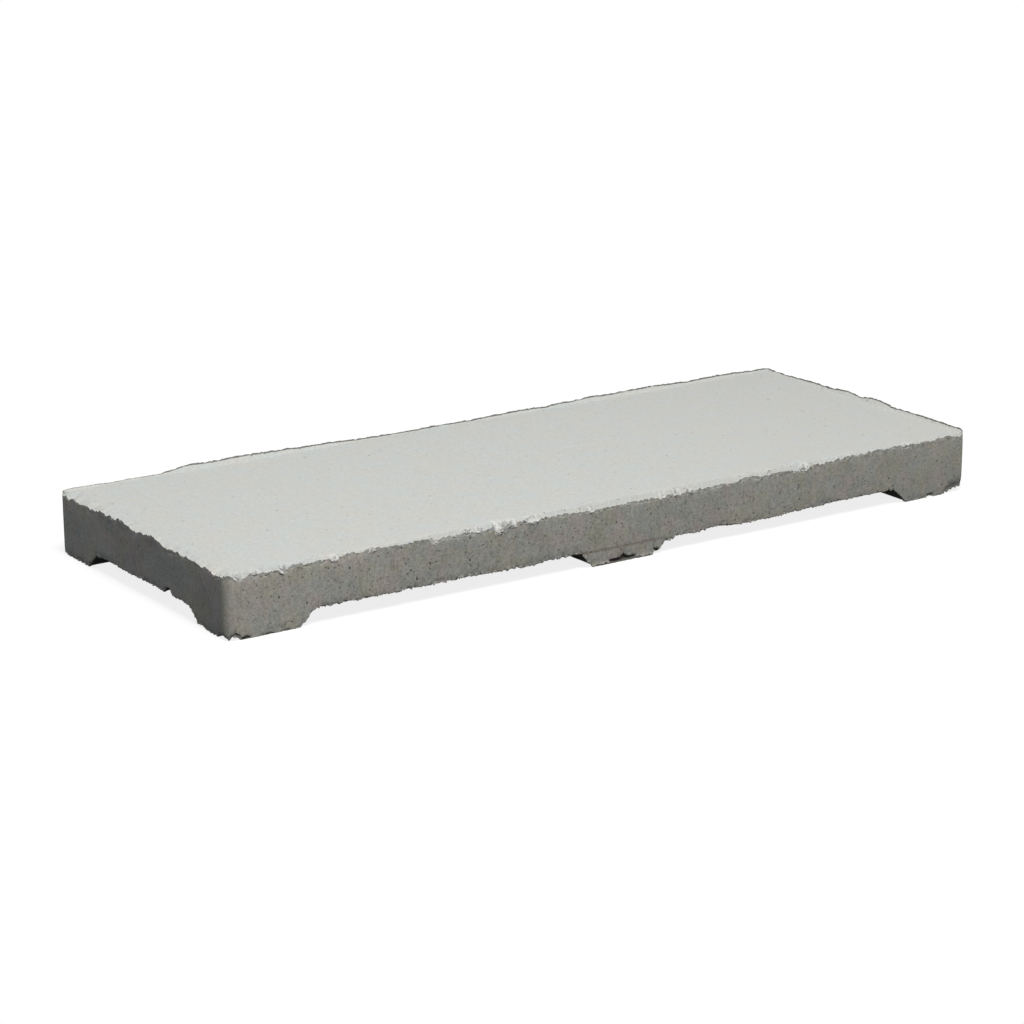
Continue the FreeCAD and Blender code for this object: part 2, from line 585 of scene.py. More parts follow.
@dataclass
class Slab:
    """The pressed slab: its surface, its wear and its mesh."""

    form: SlabForm
    wears: tuple[RimWear, ...]
    chips: tuple[Chip, ...]
    lip: FlashLip
    spalls: tuple[Spall, ...]
    column_step: float = 0.3
    upper_rows: tuple[float, ...] = (0.0, 0.3, 0.6, 0.9, 1.25, 1.65, 2.1, 2.7, 3.5)
    lower_rows: tuple[float, ...] = (3.0, 2.3, 1.75, 1.3, 0.95, 0.6, 0.3, 0.0)
    middle_rows: int = 5
    face_rings: tuple[tuple[float, float], ...] = (
        (0.3, 0.3), (0.6, 0.3), (0.95, 0.35), (1.35, 0.45), (1.8, 0.5), (2.4, 0.6),
        (3.2, 0.8), (4.2, 1.5), (5.5, 2.2), (7.5, 3.2), (10.5, 4.8))
    face_grid: float = 12.0
    face_grid_inset: float = 4.0
    sole_rings: tuple[tuple[float, float], ...] = ((0.9, 0.5), (1.5, 0.6), (2.2, 0.9), (3.0, 1.2))
    foot_grid: float = 1.6
    foot_grid_inset: float = 0.9
    foot_grid_reach: float = 2.5
    underside_grid: float = 8.0
    underside_grid_inset: float = 3.0
    underside_grid_start: float = 4.5
    join_distance: float = 1e-5
    sharp_angle_deg: float = 30.0
    rubble_grain: float = 1.5
    chip_lump: float = 2.2
    rim_grain: float = 1.2
    grain_push: tuple[tuple[Rim, float], ...] = ((Rim.UPPER, 0.22), (Rim.LOWER, 0.36))
    side_wave: float = 0.3
    side_wave_length: float = 18.0
    droop: float = 0.5
    seed: int = 5
    marks: dict[str, np.ndarray] = field(default_factory=dict)

    def wall(self) -> tuple[np.ndarray, ...]:
        """Lay out the side wall.

        Returns:
            Places, outward directions, depth below the face and height above the lower edge,
            each with one row for each level and one column for each step round the slab.
        """
        form = self.form
        plan, outward = form.ring(0.0, self.column_step)
        foot = form.underside(plan - outward * form.height * form.lean)
        tall = form.height - foot
        first = self.upper_rows[-1]
        last = tall - self.lower_rows[0]
        shares = np.linspace(0.0, 1.0, self.middle_rows + 2)[1:-1]
        depths = [np.full(len(plan), row) for row in self.upper_rows]
        depths += [first + share * (last - first) for share in shares]
        depths += [tall - row for row in self.lower_rows]
        depth = np.stack(depths)
        flat = plan[None] - outward[None] * (depth * form.lean)[..., None]
        place = np.concatenate([flat, (form.height - depth)[..., None]], axis=2)
        return place, np.tile(outward, (len(depth), 1, 1)), depth, tall[None] - depth

    def inner_points(self, rings: tuple[tuple[float, float], ...]) -> np.ndarray:
        """Points of the rings inside the outline, as x and y."""
        return np.concatenate([self.form.ring(inset, step)[0] for inset, step in rings])

    def grid(self, step: float, inset: float) -> np.ndarray:
        """Points of a square grid inside the outline.

        Args:
            step: distance between two points.
            inset: how far the grid stays inside the outline.

        Returns:
            x and y of the points.
        """
        half = np.array([self.form.length, self.form.width]) / 2 - inset
        counts = np.maximum(np.round(2 * half / step).astype(int), 1)
        axes = [np.linspace(-h, h, n + 1) for h, n in zip(half, counts)]
        return np.stack(np.meshgrid(*axes), axis=2).reshape(-1, 2)

    def underside_points(self) -> np.ndarray:
        """Points of the underside: fine on the feet and their flanks, coarse between them."""
        last_inset, _ = self.sole_rings[-1]
        flank = self.form.flank_run
        fine = self.grid(self.foot_grid, last_inset + self.foot_grid_inset)
        fine = fine[self.form.foot_gap(fine) < flank + self.foot_grid_reach]
        coarse = self.grid(self.underside_grid, last_inset + self.underside_grid_inset)
        coarse = coarse[self.form.foot_gap(coarse) > flank + self.underside_grid_start]
        return np.concatenate([self.inner_points(self.sole_rings), fine, coarse])

    def face_points(self) -> np.ndarray:
        """Points of the working face: fine along the rim, coarse in the middle."""
        last_inset, _ = self.face_rings[-1]
        return np.concatenate([self.inner_points(self.face_rings),
                               self.grid(self.face_grid, last_inset + self.face_grid_inset)])

    def fill(self, loop: np.ndarray, inner: np.ndarray) -> list[list[int]]:
        """Fill a closed loop with triangles that use the given inner points.

        Args:
            loop: x and y of the outline, in order.
            inner: x and y of the points inside it.

        Returns:
            Triangles as numbers into the loop followed by the inner points.
        """
        points = [Vector(p) for p in np.concatenate([loop, inner])]
        border = [list(range(len(loop)))]
        inside_only = 1
        filled = delaunay_2d_cdt(points, [], border, inside_only, self.join_distance)
        _, _, faces, origins, _, _ = filled
        return [[origins[v][0] for v in face] for face in faces]

    def weather(self, clay: ClaySurface) -> None:
        """Wear the surface: rims, lip, spalls, chips and a slight unevenness.

        Args:
            clay: the surface, which is changed in place.
        """
        start = clay.place.copy()
        broken = np.maximum(*[wear.apply(clay) for wear in self.wears])
        burred = self.lip.apply(clay)
        chunks = 1.0 - 2.0 * ClayNoise(self.seed + 6).grains(start, self.rubble_grain)
        rubble = np.zeros(len(start))
        for spall in self.spalls:
            rubble = np.maximum(rubble, spall.apply(clay, chunks))
        rough = 0.65 + 0.7 * ClayNoise(self.seed).layered(start, self.chip_lump, 3)
        for chip in self.chips:
            chipped = chip.apply(clay, rough)
            broken = np.where(np.abs(chipped) > np.abs(broken), chipped, broken)
        self.swell(clay, start)
        clay.place[:, 2] = np.maximum(clay.place[:, 2], 0.0)
        self.mark(clay, start, broken, burred, rubble)
        # Where painted shade darkens the crevices between the rubble's chunks.
        self.marks["crevice_shade"] = rubble * ease(-chunks, -0.1, 0.3)

    def swell(self, clay: ClaySurface, start: np.ndarray) -> None:
        """Push grains out along the rims and give the sides their slight unevenness.

        Args:
            clay: the surface, which is changed in place.
            start: the places before any wear.
        """
        grains = ClayNoise(self.seed + 3).grains(start, self.rim_grain)
        lumps = ease(-grains, -0.5, -0.1) - 0.35
        patchy = ease(ClayNoise(self.seed + 4).layered(start, 5.0, 3), 0.35, 0.6)
        for rim, amount in self.grain_push:
            near = ease(-clay.from_rim(rim), -2.0, -0.2)
            push = amount * lumps * near * patchy
            clay.place[:, :2] += clay.outward * push[:, None]
            clay.place[:, 2] += rim.value * push * 0.5
        wavy = ClayNoise(self.seed + 9).layered(start, self.side_wave_length, 3) - 0.5
        sides = clay.region == Region.WALL.value
        clay.place[:, :2] += clay.outward * (self.side_wave * wavy * sides)[:, None]

    def mark(self, clay: ClaySurface, start: np.ndarray, broken: np.ndarray, burred: np.ndarray,
             rubble: np.ndarray) -> None:
        """Work out the marks that finishes and crumbs read from the surface.

        Args:
            clay: the worn surface.
            start: the places before any wear.
            broken: how much of each point is broken clay, below 0 where painted shade darkens it.
            burred: how much of each point belongs to a rim with a burr.
            rubble: how much of each point is rubble.
        """
        wall = clay.region == Region.WALL.value
        under = clay.region == Region.UNDERSIDE.value
        droop = self.droop * ease(ClayNoise(self.seed + 11).layered(start, 6.0, 4), 0.42, 0.7)
        edge = np.where(wall, clay.below_face - droop, -clay.inset * (1.0 + 2.0 * burred))
        burr = (clay.from_rim(Rim.UPPER) < self.lip.fin_run + SLACK) & (burred > 0.5)
        edge[burr] = BURR_EDGE
        ragged = ease(ClayNoise(self.seed + 13).layered(start, 4.0, 3), 0.4, 0.65)
        upper = ease(-clay.from_rim(Rim.UPPER), -1.3, -0.2) * (1.0 - burred)
        lower = ease(-clay.from_rim(Rim.LOWER), -1.1, -0.2) * ease(start[:, 2], 0.3, 0.9)
        self.marks = {
            "edge": np.where(under, UNDER_EDGE, np.clip(edge, -UNDER_EDGE, UNDER_EDGE)),
            "side": wall.astype(float),
            "break_and_shade": broken,
            "burr": burr * ease(clay.follow(self.lip.burr), 0.0, 0.4),
            "rubble": rubble,
            "crumb": ragged * np.maximum(upper * 0.3, lower * 0.6),
            "flake": ease(rubble, 0.35, 0.75)}

    def build(self) -> bpy.types.Object:
        """Make the slab's mesh.

        Returns:
            The finished object, in metres.
        """
        place, outward, depth, above = self.wall()
        rows, columns = depth.shape
        count = rows * columns
        face = self.face_points()
        under = self.underside_points()
        triangles = [self.renumber(t, columns, 0, count) for t in self.fill(place[0, :, :2], face)]
        lower_start = count - columns
        for triangle in self.fill(place[-1, :, :2], under):
            numbers = self.renumber(triangle, columns, lower_start, count + len(face))
            triangles.append(numbers[::-1])
        clay = self.gather(place, outward, depth, above, face, under)
        self.weather(clay)
        upper = np.arange(count - columns).reshape(rows - 1, columns)
        following = np.roll(upper, -1, axis=1)
        quads = np.stack([upper, upper + columns, following + columns, following], axis=2)
        mesh = bpy.data.meshes.new("slab")
        mesh.from_pydata(clay.place * MM, [], quads.reshape(-1, 4).tolist() + triangles)
        for name, values in self.marks.items():
            layer = mesh.attributes.new(name, "FLOAT", "POINT")
            layer.data.foreach_set("value", values.astype(np.float32))
        mesh.polygons.foreach_set("use_smooth", [True] * len(mesh.polygons))
        mesh.set_sharp_from_angle(angle=math.radians(self.sharp_angle_deg))
        mesh.validate()
        slab = bpy.data.objects.new("slab", mesh)
        bpy.context.scene.collection.objects.link(slab)
        return slab

    @staticmethod
    def renumber(triangle: list[int], columns: int, loop_start: int, inner_start: int) -> list[int]:
        """Turn numbers of a filled loop into numbers of the whole mesh.

        Args:
            triangle: three numbers into the loop and its inner points.
            columns: how many points the loop has.
            loop_start: number of the loop's first point in the mesh.
            inner_start: number of the first inner point in the mesh.

        Returns:
            Three numbers into the mesh.
        """
        return [loop_start + v if v < columns else inner_start + v - columns for v in triangle]

    def gather(self, place: np.ndarray, outward: np.ndarray, depth: np.ndarray, above: np.ndarray,
               face: np.ndarray, under: np.ndarray) -> ClaySurface:
        """Put wall, face and underside into one list of points.

        Args:
            place: places of the wall.
            outward: outward directions of the wall.
            depth: the wall's depths below the face.
            above: the wall's heights above the lower edge.
            face: x and y of the face's inner points.
            under: x and y of the underside's inner points.

        Returns:
            The whole surface, not yet worn.
        """
        form = self.form
        face_inset, face_outward = form.inset(face)
        under_inset, under_outward = form.inset(under)
        under_height = form.underside(under)
        under_inset = under_inset - (form.height - under_height) * form.lean
        walls = depth.size
        level = np.full(len(face), form.height)
        return ClaySurface(
            place=np.concatenate([place.reshape(-1, 3), np.column_stack([face, level]),
                                  np.column_stack([under, under_height])]),
            outward=np.concatenate([outward.reshape(-1, 2), face_outward, under_outward]),
            inset=np.concatenate([np.zeros(walls), face_inset, under_inset]),
            below_face=np.concatenate([depth.ravel(), np.zeros(len(face)),
                                       np.full(len(under), FAR)]),
            above_edge=np.concatenate([above.ravel(), np.full(len(face), FAR),
                                       np.zeros(len(under))]),
            region=np.repeat([r.value for r in Region], [walls, len(face), len(under)]))


class NodeSheet:
    """Adds and joins nodes in one tree, and keeps them in order from left to right."""

    COLUMN_WIDTH = 180.0
    ROW_HEIGHT = 220.0
    ROWS = 6

    def __init__(self, tree: bpy.types.NodeTree) -> None:
        """Start on an empty tree."""
        self.tree = tree
        self.count = 0

    def add(self, kind: str, inputs: dict | None = None, **settings: object) -> bpy.types.Node:
        """Add one node.

        Args:
            kind: the node's type name.
            inputs: value or output socket for each input, by name or number.
            settings: values of the node's own properties.

        Returns:
            The node.
        """
        node = self.tree.nodes.new(kind)
        column, row = divmod(self.count, self.ROWS)
        node.location = (self.COLUMN_WIDTH * column, -self.ROW_HEIGHT * row)
        self.count += 1
        for name, value in settings.items():
            setattr(node, name, value)
        for name, value in (inputs or {}).items():
            self.feed(node.inputs[name], value)
        return node

    def feed(self, socket: bpy.types.NodeSocket, value: object) -> None:
        """Join a socket to another one, or set its value."""
        if isinstance(value, bpy.types.NodeSocket):
            self.tree.links.new(value, socket)
        elif socket.type == "RGBA" and len(value) == 3:
            socket.default_value = (*value, 1.0)
        else:
            socket.default_value = value

    def calc(self, operation: str, first: object, second: object = 0.0,
             third: object = 0.0) -> bpy.types.NodeSocket:
        """Add a math node and return its result."""
        inputs = {0: first, 1: second, 2: third}
        return self.add("ShaderNodeMath", inputs, operation=operation).outputs[0]

    def span(self, value: object, low: float, high: float, start: float = 0.0,
             end: float = 1.0) -> bpy.types.NodeSocket:
        """Map a value smoothly from one range to another.

        Args:
            value: socket with the value.
            low: value that gives start.
            high: value that gives end.
            start: result at low.
            end: result at high.

        Returns:
            The result's socket.
        """
        inputs = {"Value": value, "From Min": low, "From Max": high, "To Min": start, "To Max": end}
        return self.add("ShaderNodeMapRange", inputs, interpolation_type="SMOOTHSTEP").outputs[0]

    def blend(self, share: object, under: object, over: object,
              way: str = "MIX") -> bpy.types.NodeSocket:
        """Blend two colours.

        Args:
            share: how much of the upper colour shows.
            under: the lower colour.
            over: the upper colour.
            way: name of the blend.

        Returns:
            The blended colour's socket.
        """
        inputs = {"Factor": share, 6: under, 7: over}
        node = self.add("ShaderNodeMix", inputs, data_type="RGBA", blend_type=way)
        return node.outputs[2]

    def shaded(self, colour: bpy.types.NodeSocket, level: bpy.types.NodeSocket) -> bpy.types.NodeSocket:
        """Make a colour lighter or darker by a level around 1."""
        shade = self.add("ShaderNodeCombineColor", {0: level, 1: level, 2: level})
        return self.blend(1.0, colour, shade.outputs[0], "MULTIPLY")

    def noise(self, vector: object, scale: float, detail: float = 2.0,
              roughness: float = 0.5) -> bpy.types.NodeSocket:
        """Add a noise texture and return its value."""
        inputs = {"Vector": vector, "Scale": scale, "Detail": detail, "Roughness": roughness}
        return self.add("ShaderNodeTexNoise", inputs).outputs[0]

    def drift(self, place: bpy.types.NodeSocket, low: float, high: float, start: float,
              end: float, axis: str = "X") -> bpy.types.NodeSocket:
        """Map the place along one axis of the slab, in metres, smoothly to a value."""
        along = self.add("ShaderNodeSeparateXYZ", {0: place}).outputs[axis]
        return self.span(along, low, high, start, end)

    def stretched(self, place: bpy.types.NodeSocket, tall: float) -> bpy.types.NodeSocket:
        """Coordinates in which a pattern comes out drawn along the slab's height."""
        return self.add("ShaderNodeMapping", {"Vector": place, "Scale": (1.0, 1.0, tall)}).outputs[0]

    def mark(self, name: str) -> bpy.types.NodeSocket:
        """Read one of the surface's marks."""
        return self.add("ShaderNodeAttribute", attribute_name=name).outputs["Fac"]


def shader_group(name: str, inputs: dict[str, str], outputs: dict[str, str]) -> tuple[
        bpy.types.NodeTree, NodeSheet, bpy.types.Node, bpy.types.Node]:
    """Start a shader node group with named sockets.

    Args:
        name: the group's name.
        inputs: type of each input socket.
        outputs: type of each output socket.

    Returns:
        The group, a sheet to add nodes with, its input node and its output node.
    """
    tree = bpy.data.node_groups.new(name, "ShaderNodeTree")
    for label, kind in inputs.items():
        tree.interface.new_socket(label, in_out="INPUT", socket_type=kind)
    for label, kind in outputs.items():
        tree.interface.new_socket(label, in_out="OUTPUT", socket_type=kind)
    sheet = NodeSheet(tree)
    return tree, sheet, sheet.add("NodeGroupInput"), sheet.add("NodeGroupOutput")


class ClayGroups:
    """Effects that both clay finishes share, each made once as a node group."""

    def __init__(self) -> None:
        """Build the groups."""
        self.grain = self.build_grain()
        self.pores = self.build_pores()
        self.mottle = self.build_mottle()

    @staticmethod
    def build_grain() -> bpy.types.NodeTree:
        """Fired grains: a light and dark tone for each grain and a height for the bump.

        Returns:
            The group.
        """
        tree, sheet, given, result = shader_group(
            "clay_grain", {"Vector": "NodeSocketVector", "Grains Per Metre": "NodeSocketFloat"},
            {"Tone": "NodeSocketFloat", "Height": "NodeSocketFloat"})
        scale = given.outputs["Grains Per Metre"]
        cells = sheet.add("ShaderNodeTexVoronoi", {"Vector": given.outputs["Vector"], "Scale": scale})
        single = sheet.add("ShaderNodeSeparateColor", {"Color": cells.outputs["Color"]})
        fine = sheet.noise(given.outputs["Vector"], sheet.calc("MULTIPLY", scale, 0.9), 3.0, 0.65)
        shade = sheet.calc("MULTIPLY_ADD", single.outputs[0], 0.4, sheet.calc("MULTIPLY", fine, 0.6))
        bulge = sheet.calc("SUBTRACT", 1.0, cells.outputs["Distance"])
        height = sheet.calc("MULTIPLY_ADD", bulge, 0.4, sheet.calc("MULTIPLY", fine, 0.9))
        sheet.feed(result.inputs["Tone"], shade)
        sheet.feed(result.inputs["Height"], height)
        return tree

    @staticmethod
    def build_pores() -> bpy.types.NodeTree:
        """Round spots of changing size and strength, used for pinholes, specks and pale grains.

        Returns:
            The group.
        """
        tree, sheet, given, result = shader_group(
            "clay_pores", {"Vector": "NodeSocketVector", "Pores Per Metre": "NodeSocketFloat",
                           "Radius": "NodeSocketFloat"}, {"Mask": "NodeSocketFloat"})
        cells = sheet.add("ShaderNodeTexVoronoi", {"Vector": given.outputs["Vector"],
                                                   "Scale": given.outputs["Pores Per Metre"]})
        single = sheet.add("ShaderNodeSeparateColor", {"Color": cells.outputs["Color"]})
        size = sheet.calc("MULTIPLY_ADD", single.outputs[0], 0.75, 0.25)
        radius = sheet.calc("MULTIPLY", size, given.outputs["Radius"])
        ratio = sheet.calc("DIVIDE", cells.outputs["Distance"], radius)
        deep = sheet.calc("POWER", single.outputs[1], 1.4)
        strength = sheet.calc("MULTIPLY_ADD", deep, 0.75, 0.25)
        mask = sheet.calc("MULTIPLY", sheet.span(ratio, 1.0, 0.55), strength)
        sheet.feed(result.inputs["Mask"], mask)
        return tree

    @staticmethod
    def build_mottle() -> bpy.types.NodeTree:
        """Broad soft patches of two tints over a base colour.

        Returns:
            The group.
        """
        tree, sheet, given, result = shader_group(
            "clay_mottle", {"Vector": "NodeSocketVector", "Base": "NodeSocketColor",
                            "Tint": "NodeSocketColor", "Second Tint": "NodeSocketColor"},
            {"Color": "NodeSocketColor"})
        first = sheet.span(sheet.noise(given.outputs["Vector"], 120.0, 4.0, 0.65), 0.43, 0.64)
        moved = sheet.add("ShaderNodeVectorMath", {0: given.outputs["Vector"], 1: (0.37, 0.11, 0.23)})
        second = sheet.span(sheet.noise(moved.outputs[0], 100.0, 4.0, 0.65), 0.43, 0.64)
        colour = sheet.blend(first, given.outputs["Base"], given.outputs["Tint"])
        colour = sheet.blend(second, colour, given.outputs["Second Tint"])
        sheet.feed(result.inputs["Color"], colour)
        return tree


def empty_material(name: str) -> tuple[bpy.types.Material, NodeSheet, bpy.types.Node]:
    """Start a material.

    Args:
        name: the material's name.

    Returns:
        The material, a sheet to add nodes with, and its output node.
    """
    material = bpy.data.materials.new(name)
    material.use_nodes = True
    material.node_tree.nodes.clear()
    sheet = NodeSheet(material.node_tree)
    return material, sheet, sheet.add("ShaderNodeOutputMaterial")


@dataclass(frozen=True)
class PressedClay:
    """The slab's finish: a pale smooth face, darker pinholed sides and pale rubble, with painted shade in
    its hollows and below.
    """

    face: Colour = (0.633, 0.641, 0.611)
    face_warm: Colour = (0.646, 0.639, 0.593)
    face_cool: Colour = (0.621, 0.646, 0.624)
    speck_and_pit_shade: Colour = (0.33, 0.32, 0.30)
    side: Colour = (0.503, 0.513, 0.464)
    side_warm: Colour = (0.571, 0.513, 0.462)
    side_straw: Colour = (0.527, 0.513, 0.420)
    # Painted shade inside the pinholes.
    pinhole_shade: Colour = (0.07, 0.065, 0.06)
    pale_grain: Colour = (0.80, 0.79, 0.76)
    broken: Colour = (0.52, 0.51, 0.47)
    seam: Colour = (0.27, 0.22, 0.17)
    rubble: Colour = (0.73, 0.73, 0.705)
    # Painted shade in the crevices of the rubble.
    crevice_shade: Colour = (0.30, 0.292, 0.28)
    # Painted shade for the outline along the burr.
    burr: Colour = (0.19, 0.187, 0.176)
    # Painted shade of the chips along the soles and in the feet's hollows.
    chip_shade: Colour = (0.07, 0.068, 0.063)
    # Painted shade on the underside and the feet's flanks, the second for the right end.
    underside: Colour = (0.12, 0.118, 0.110)
    deeper_shade: Colour = (0.05, 0.049, 0.046)
    roughness: float = 0.9
    specular: float = 0.05
    grains_per_metre: float = 1500.0
    bump_strength: float = 0.3
    bump_metres: float = 0.0002
    left_turn_metres: tuple[float, float] = (-0.1508, -0.1495)
    parting_height: float = 5.4
    parting_half: float = 17.0
    parting_fade: float = 2.0

    def make(self, groups: ClayGroups) -> bpy.types.Material:
        """Build the material.

        Args:
            groups: the effects that the clay finishes share.

        Returns:
            The material.
        """
        material, sheet, output = empty_material("pressed_clay")
        place = sheet.add("ShaderNodeTexCoord").outputs["Object"]
        grain = sheet.add("ShaderNodeGroup", {
            "Vector": place, "Grains Per Metre": self.grains_per_metre}, node_tree=groups.grain)
        bare = self.bare_clay(sheet, place)
        side, holes = self.side_colour(sheet, groups, place, grain.outputs["Tone"])
        break_and_shade = sheet.mark("break_and_shade")
        side = sheet.blend(sheet.span(break_and_shade, 0.0, 1.0, 0.0, 0.5), side, self.broken)
        # Painted shade: chips marked below 0 darken the sides nearly to black.
        side = sheet.blend(sheet.span(break_and_shade, 0.0, -0.6, 0.0, 0.85), side, self.chip_shade)
        # Painted shade: a dark outline along the burr of the back and right rims.
        side = sheet.blend(sheet.calc("MULTIPLY", sheet.mark("burr"), 0.9), side, self.burr)
        # Painted shade: the underside and the feet's flanks are darkened, more towards the right end.
        under = sheet.blend(sheet.drift(place, -0.02, 0.12, 0.0, 1.0), self.underside, self.deeper_shade)
        below = sheet.span(sheet.mark("edge"), UNDER_EDGE - 6.0, UNDER_EDGE - 1.0)
        side = sheet.blend(below, side, under)
        face, specks = self.face_colour(sheet, groups, place, grain.outputs["Tone"])
        colour = sheet.blend(bare, face, side)
        colour = self.rubble_colour(sheet, place, colour)
        rough = sheet.calc("MULTIPLY_ADD", bare, 0.75, 0.12)
        relief = sheet.calc("MULTIPLY", grain.outputs["Height"], rough)
        pits = sheet.calc("MULTIPLY", sheet.calc("MULTIPLY", holes, bare), -1.5)
        pits = sheet.calc("MULTIPLY_ADD", specks, -0.3, pits)
        bump = sheet.add("ShaderNodeBump", {
            "Strength": self.bump_strength, "Distance": self.bump_metres,
            "Height": sheet.calc("ADD", relief, pits)})
        shader = sheet.add("ShaderNodeBsdfPrincipled", {
            "Base Color": colour, "Roughness": self.roughness, "Specular IOR Level": self.specular,
            "Normal": bump.outputs[0]})
        sheet.feed(output.inputs["Surface"], shader.outputs[0])
        return material

    @staticmethod
    def bare_clay(sheet: NodeSheet, place: bpy.types.NodeSocket) -> bpy.types.NodeSocket:
        """Where the pale skin ends: a jagged line at the rim, torn pits inside it, scraps below it.

        Args:
            sheet: where the nodes go.
            place: the coordinates.

        Returns:
            A mask, 0 on the skin and 1 on bare clay.
        """
        jag = sheet.calc("MULTIPLY_ADD", sheet.noise(place, 1100.0, 2.0, 0.6), 2.4, -1.2)
        left = sheet.drift(place, -0.1515, -0.147, 1.0, 0.0)
        torn = sheet.span(sheet.noise(place, 140.0, 2.0), 0.55, 0.68)
        torn = sheet.calc("MULTIPLY_ADD", left, 0.4, torn)
        spots = sheet.span(sheet.noise(place, 1000.0, 1.0), 0.52, 0.7, 0.0, 1.8)
        reach = sheet.calc("MULTIPLY_ADD", torn, spots, jag)
        edge = sheet.mark("edge")
        bare = sheet.span(sheet.calc("ADD", edge, reach), -0.06, 0.06)
        left_over = sheet.span(sheet.noise(place, 480.0, 2.0), 0.59, 0.63)
        close = sheet.span(edge, 4.0, 0.8, 0.0, 0.9)
        patchy = sheet.span(sheet.noise(place, 75.0, 2.0), 0.5, 0.6)
        hanging = sheet.calc("MULTIPLY", left, sheet.span(edge, 1.4, 0.3, 0.0, 0.8))
        scraps = sheet.calc("MAXIMUM", sheet.calc("MULTIPLY", close, patchy), hanging)
        skin = sheet.calc("MULTIPLY", left_over, scraps)
        return sheet.calc("MULTIPLY", bare, sheet.calc("SUBTRACT", 1.0, skin))

    def rubble_colour(self, sheet: NodeSheet, place: bpy.types.NodeSocket,
                      colour: bpy.types.NodeSocket) -> bpy.types.NodeSocket:
        """Lay pale broken clay over the spalls, with painted shade in the crevices between its chunks.

        Args:
            sheet: where the nodes go.
            place: the coordinates.
            colour: the colour so far.

        Returns:
            The colour's socket.
        """
        deep = sheet.calc("MULTIPLY", sheet.mark("crevice_shade"), 0.85)
        chunks = sheet.blend(deep, self.rubble, self.crevice_shade)
        ragged = sheet.calc("MULTIPLY_ADD", sheet.noise(place, 900.0), 0.6, sheet.mark("rubble"))
        return sheet.blend(sheet.span(ragged, 0.56, 0.66), colour, chunks)

    def side_colour(self, sheet: NodeSheet, groups: ClayGroups, place: bpy.types.NodeSocket,
                    tone: bpy.types.NodeSocket) -> tuple[bpy.types.NodeSocket, bpy.types.NodeSocket]:
        """Colour of the sides: patches, grains, drag streaks, pinholes darkened with painted shade, and
        the parting line.

        Args:
            sheet: where the nodes go.
            groups: the effects that the clay finishes share.
            place: the coordinates.
            tone: light and dark of the grains.

        Returns:
            The colour, and a mask of the pinholes.
        """
        calm = sheet.calc("MULTIPLY", sheet.drift(place, *self.left_turn_metres, 0.68, 1.0),
                          sheet.drift(place, 0.06, 0.13, 1.0, 0.74))
        colour = sheet.shaded(self.side_tint(sheet, groups, place),
                              self.side_level(sheet, place, tone, calm))
        pale = self.pores(sheet, groups, place, 380.0, 0.14)
        colour = sheet.blend(sheet.calc("MULTIPLY", pale, 0.6), colour, self.pale_grain)
        holes = self.side_holes(sheet, groups, place, calm)
        # Painted shade: the pinholes are darkened nearly to black.
        colour = sheet.blend(sheet.calc("MULTIPLY", holes, 0.9), colour, self.pinhole_shade)
        seam = self.parting(sheet, place)
        return sheet.blend(sheet.calc("MULTIPLY", seam, 0.5), colour, self.seam), holes

    def side_tint(self, sheet: NodeSheet, groups: ClayGroups,
                  place: bpy.types.NodeSocket) -> bpy.types.NodeSocket:
        """Patches of pink and straw on the sides, and a warmer stretch beside the near left corner.

        Args:
            sheet: where the nodes go.
            groups: the effects that the clay finishes share.
            place: the coordinates.

        Returns:
            The colour's socket.
        """
        mottle = sheet.add("ShaderNodeGroup", {
            "Vector": place, "Base": self.side, "Tint": self.side_warm,
            "Second Tint": self.side_straw}, node_tree=groups.mottle)
        warmer = sheet.calc("MULTIPLY", sheet.drift(place, -0.147, -0.137, 0.33, 0.0),
                            sheet.drift(place, -0.152, -0.1505, 0.0, 1.0))
        return sheet.blend(warmer, mottle.outputs[0], self.side_warm)

    @staticmethod
    def side_level(sheet: NodeSheet, place: bpy.types.NodeSocket, tone: bpy.types.NodeSocket,
                   calm: bpy.types.NodeSocket) -> bpy.types.NodeSocket:
        """Light and dark of the sides: grains, drag streaks, dark flecks and broad clouds.

        Args:
            sheet: where the nodes go.
            place: the coordinates.
            tone: light and dark of the grains.
            calm: how much of the fine texture shows.

        Returns:
            A level around 1.
        """
        streak = sheet.noise(sheet.stretched(place, 0.22), 1100.0, 3.0, 0.65)
        spots = sheet.noise(sheet.stretched(place, 0.6), 1000.0, 2.0, 0.6)
        fleck = sheet.span(spots, 0.42, 0.3, 0.0, 0.3)
        drawn = sheet.calc("MULTIPLY_ADD", streak, 0.48, -0.57)
        noisy = sheet.calc("MULTIPLY_ADD", tone, 0.7, sheet.calc("SUBTRACT", drawn, fleck))
        cloud = sheet.noise(place, 85.0, 4.0, 0.65)
        drift = sheet.drift(place, -0.15, -0.05, 0.915, 0.83)
        broad = sheet.calc("MULTIPLY_ADD", cloud, 0.4, drift)
        return sheet.calc("MULTIPLY_ADD", noisy, calm, broad)

    def side_holes(self, sheet: NodeSheet, groups: ClayGroups, place: bpy.types.NodeSocket,
                   calm: bpy.types.NodeSocket) -> bpy.types.NodeSocket:
        """Pinholes of the sides: a few large ones and many small ones.

        Args:
            sheet: where the nodes go.
            groups: the effects that the clay finishes share.
            place: the coordinates.
            calm: how much of the fine texture shows.

        Returns:
            A mask of the pinholes.
        """
        large = self.pores(sheet, groups, sheet.stretched(place, 0.7), 390.0, 0.175)
        deep = sheet.calc("MULTIPLY", sheet.drift(place, -0.06, 0.06, 1.15, 0.95),
                          sheet.drift(place, *self.left_turn_metres, 0.45, 1.0))
        small = sheet.calc("MULTIPLY", self.pores(sheet, groups, place, 600.0, 0.3), calm)
        return sheet.calc("MAXIMUM", sheet.calc("MULTIPLY", large, deep),
                          sheet.calc("MULTIPLY", small, 0.62))

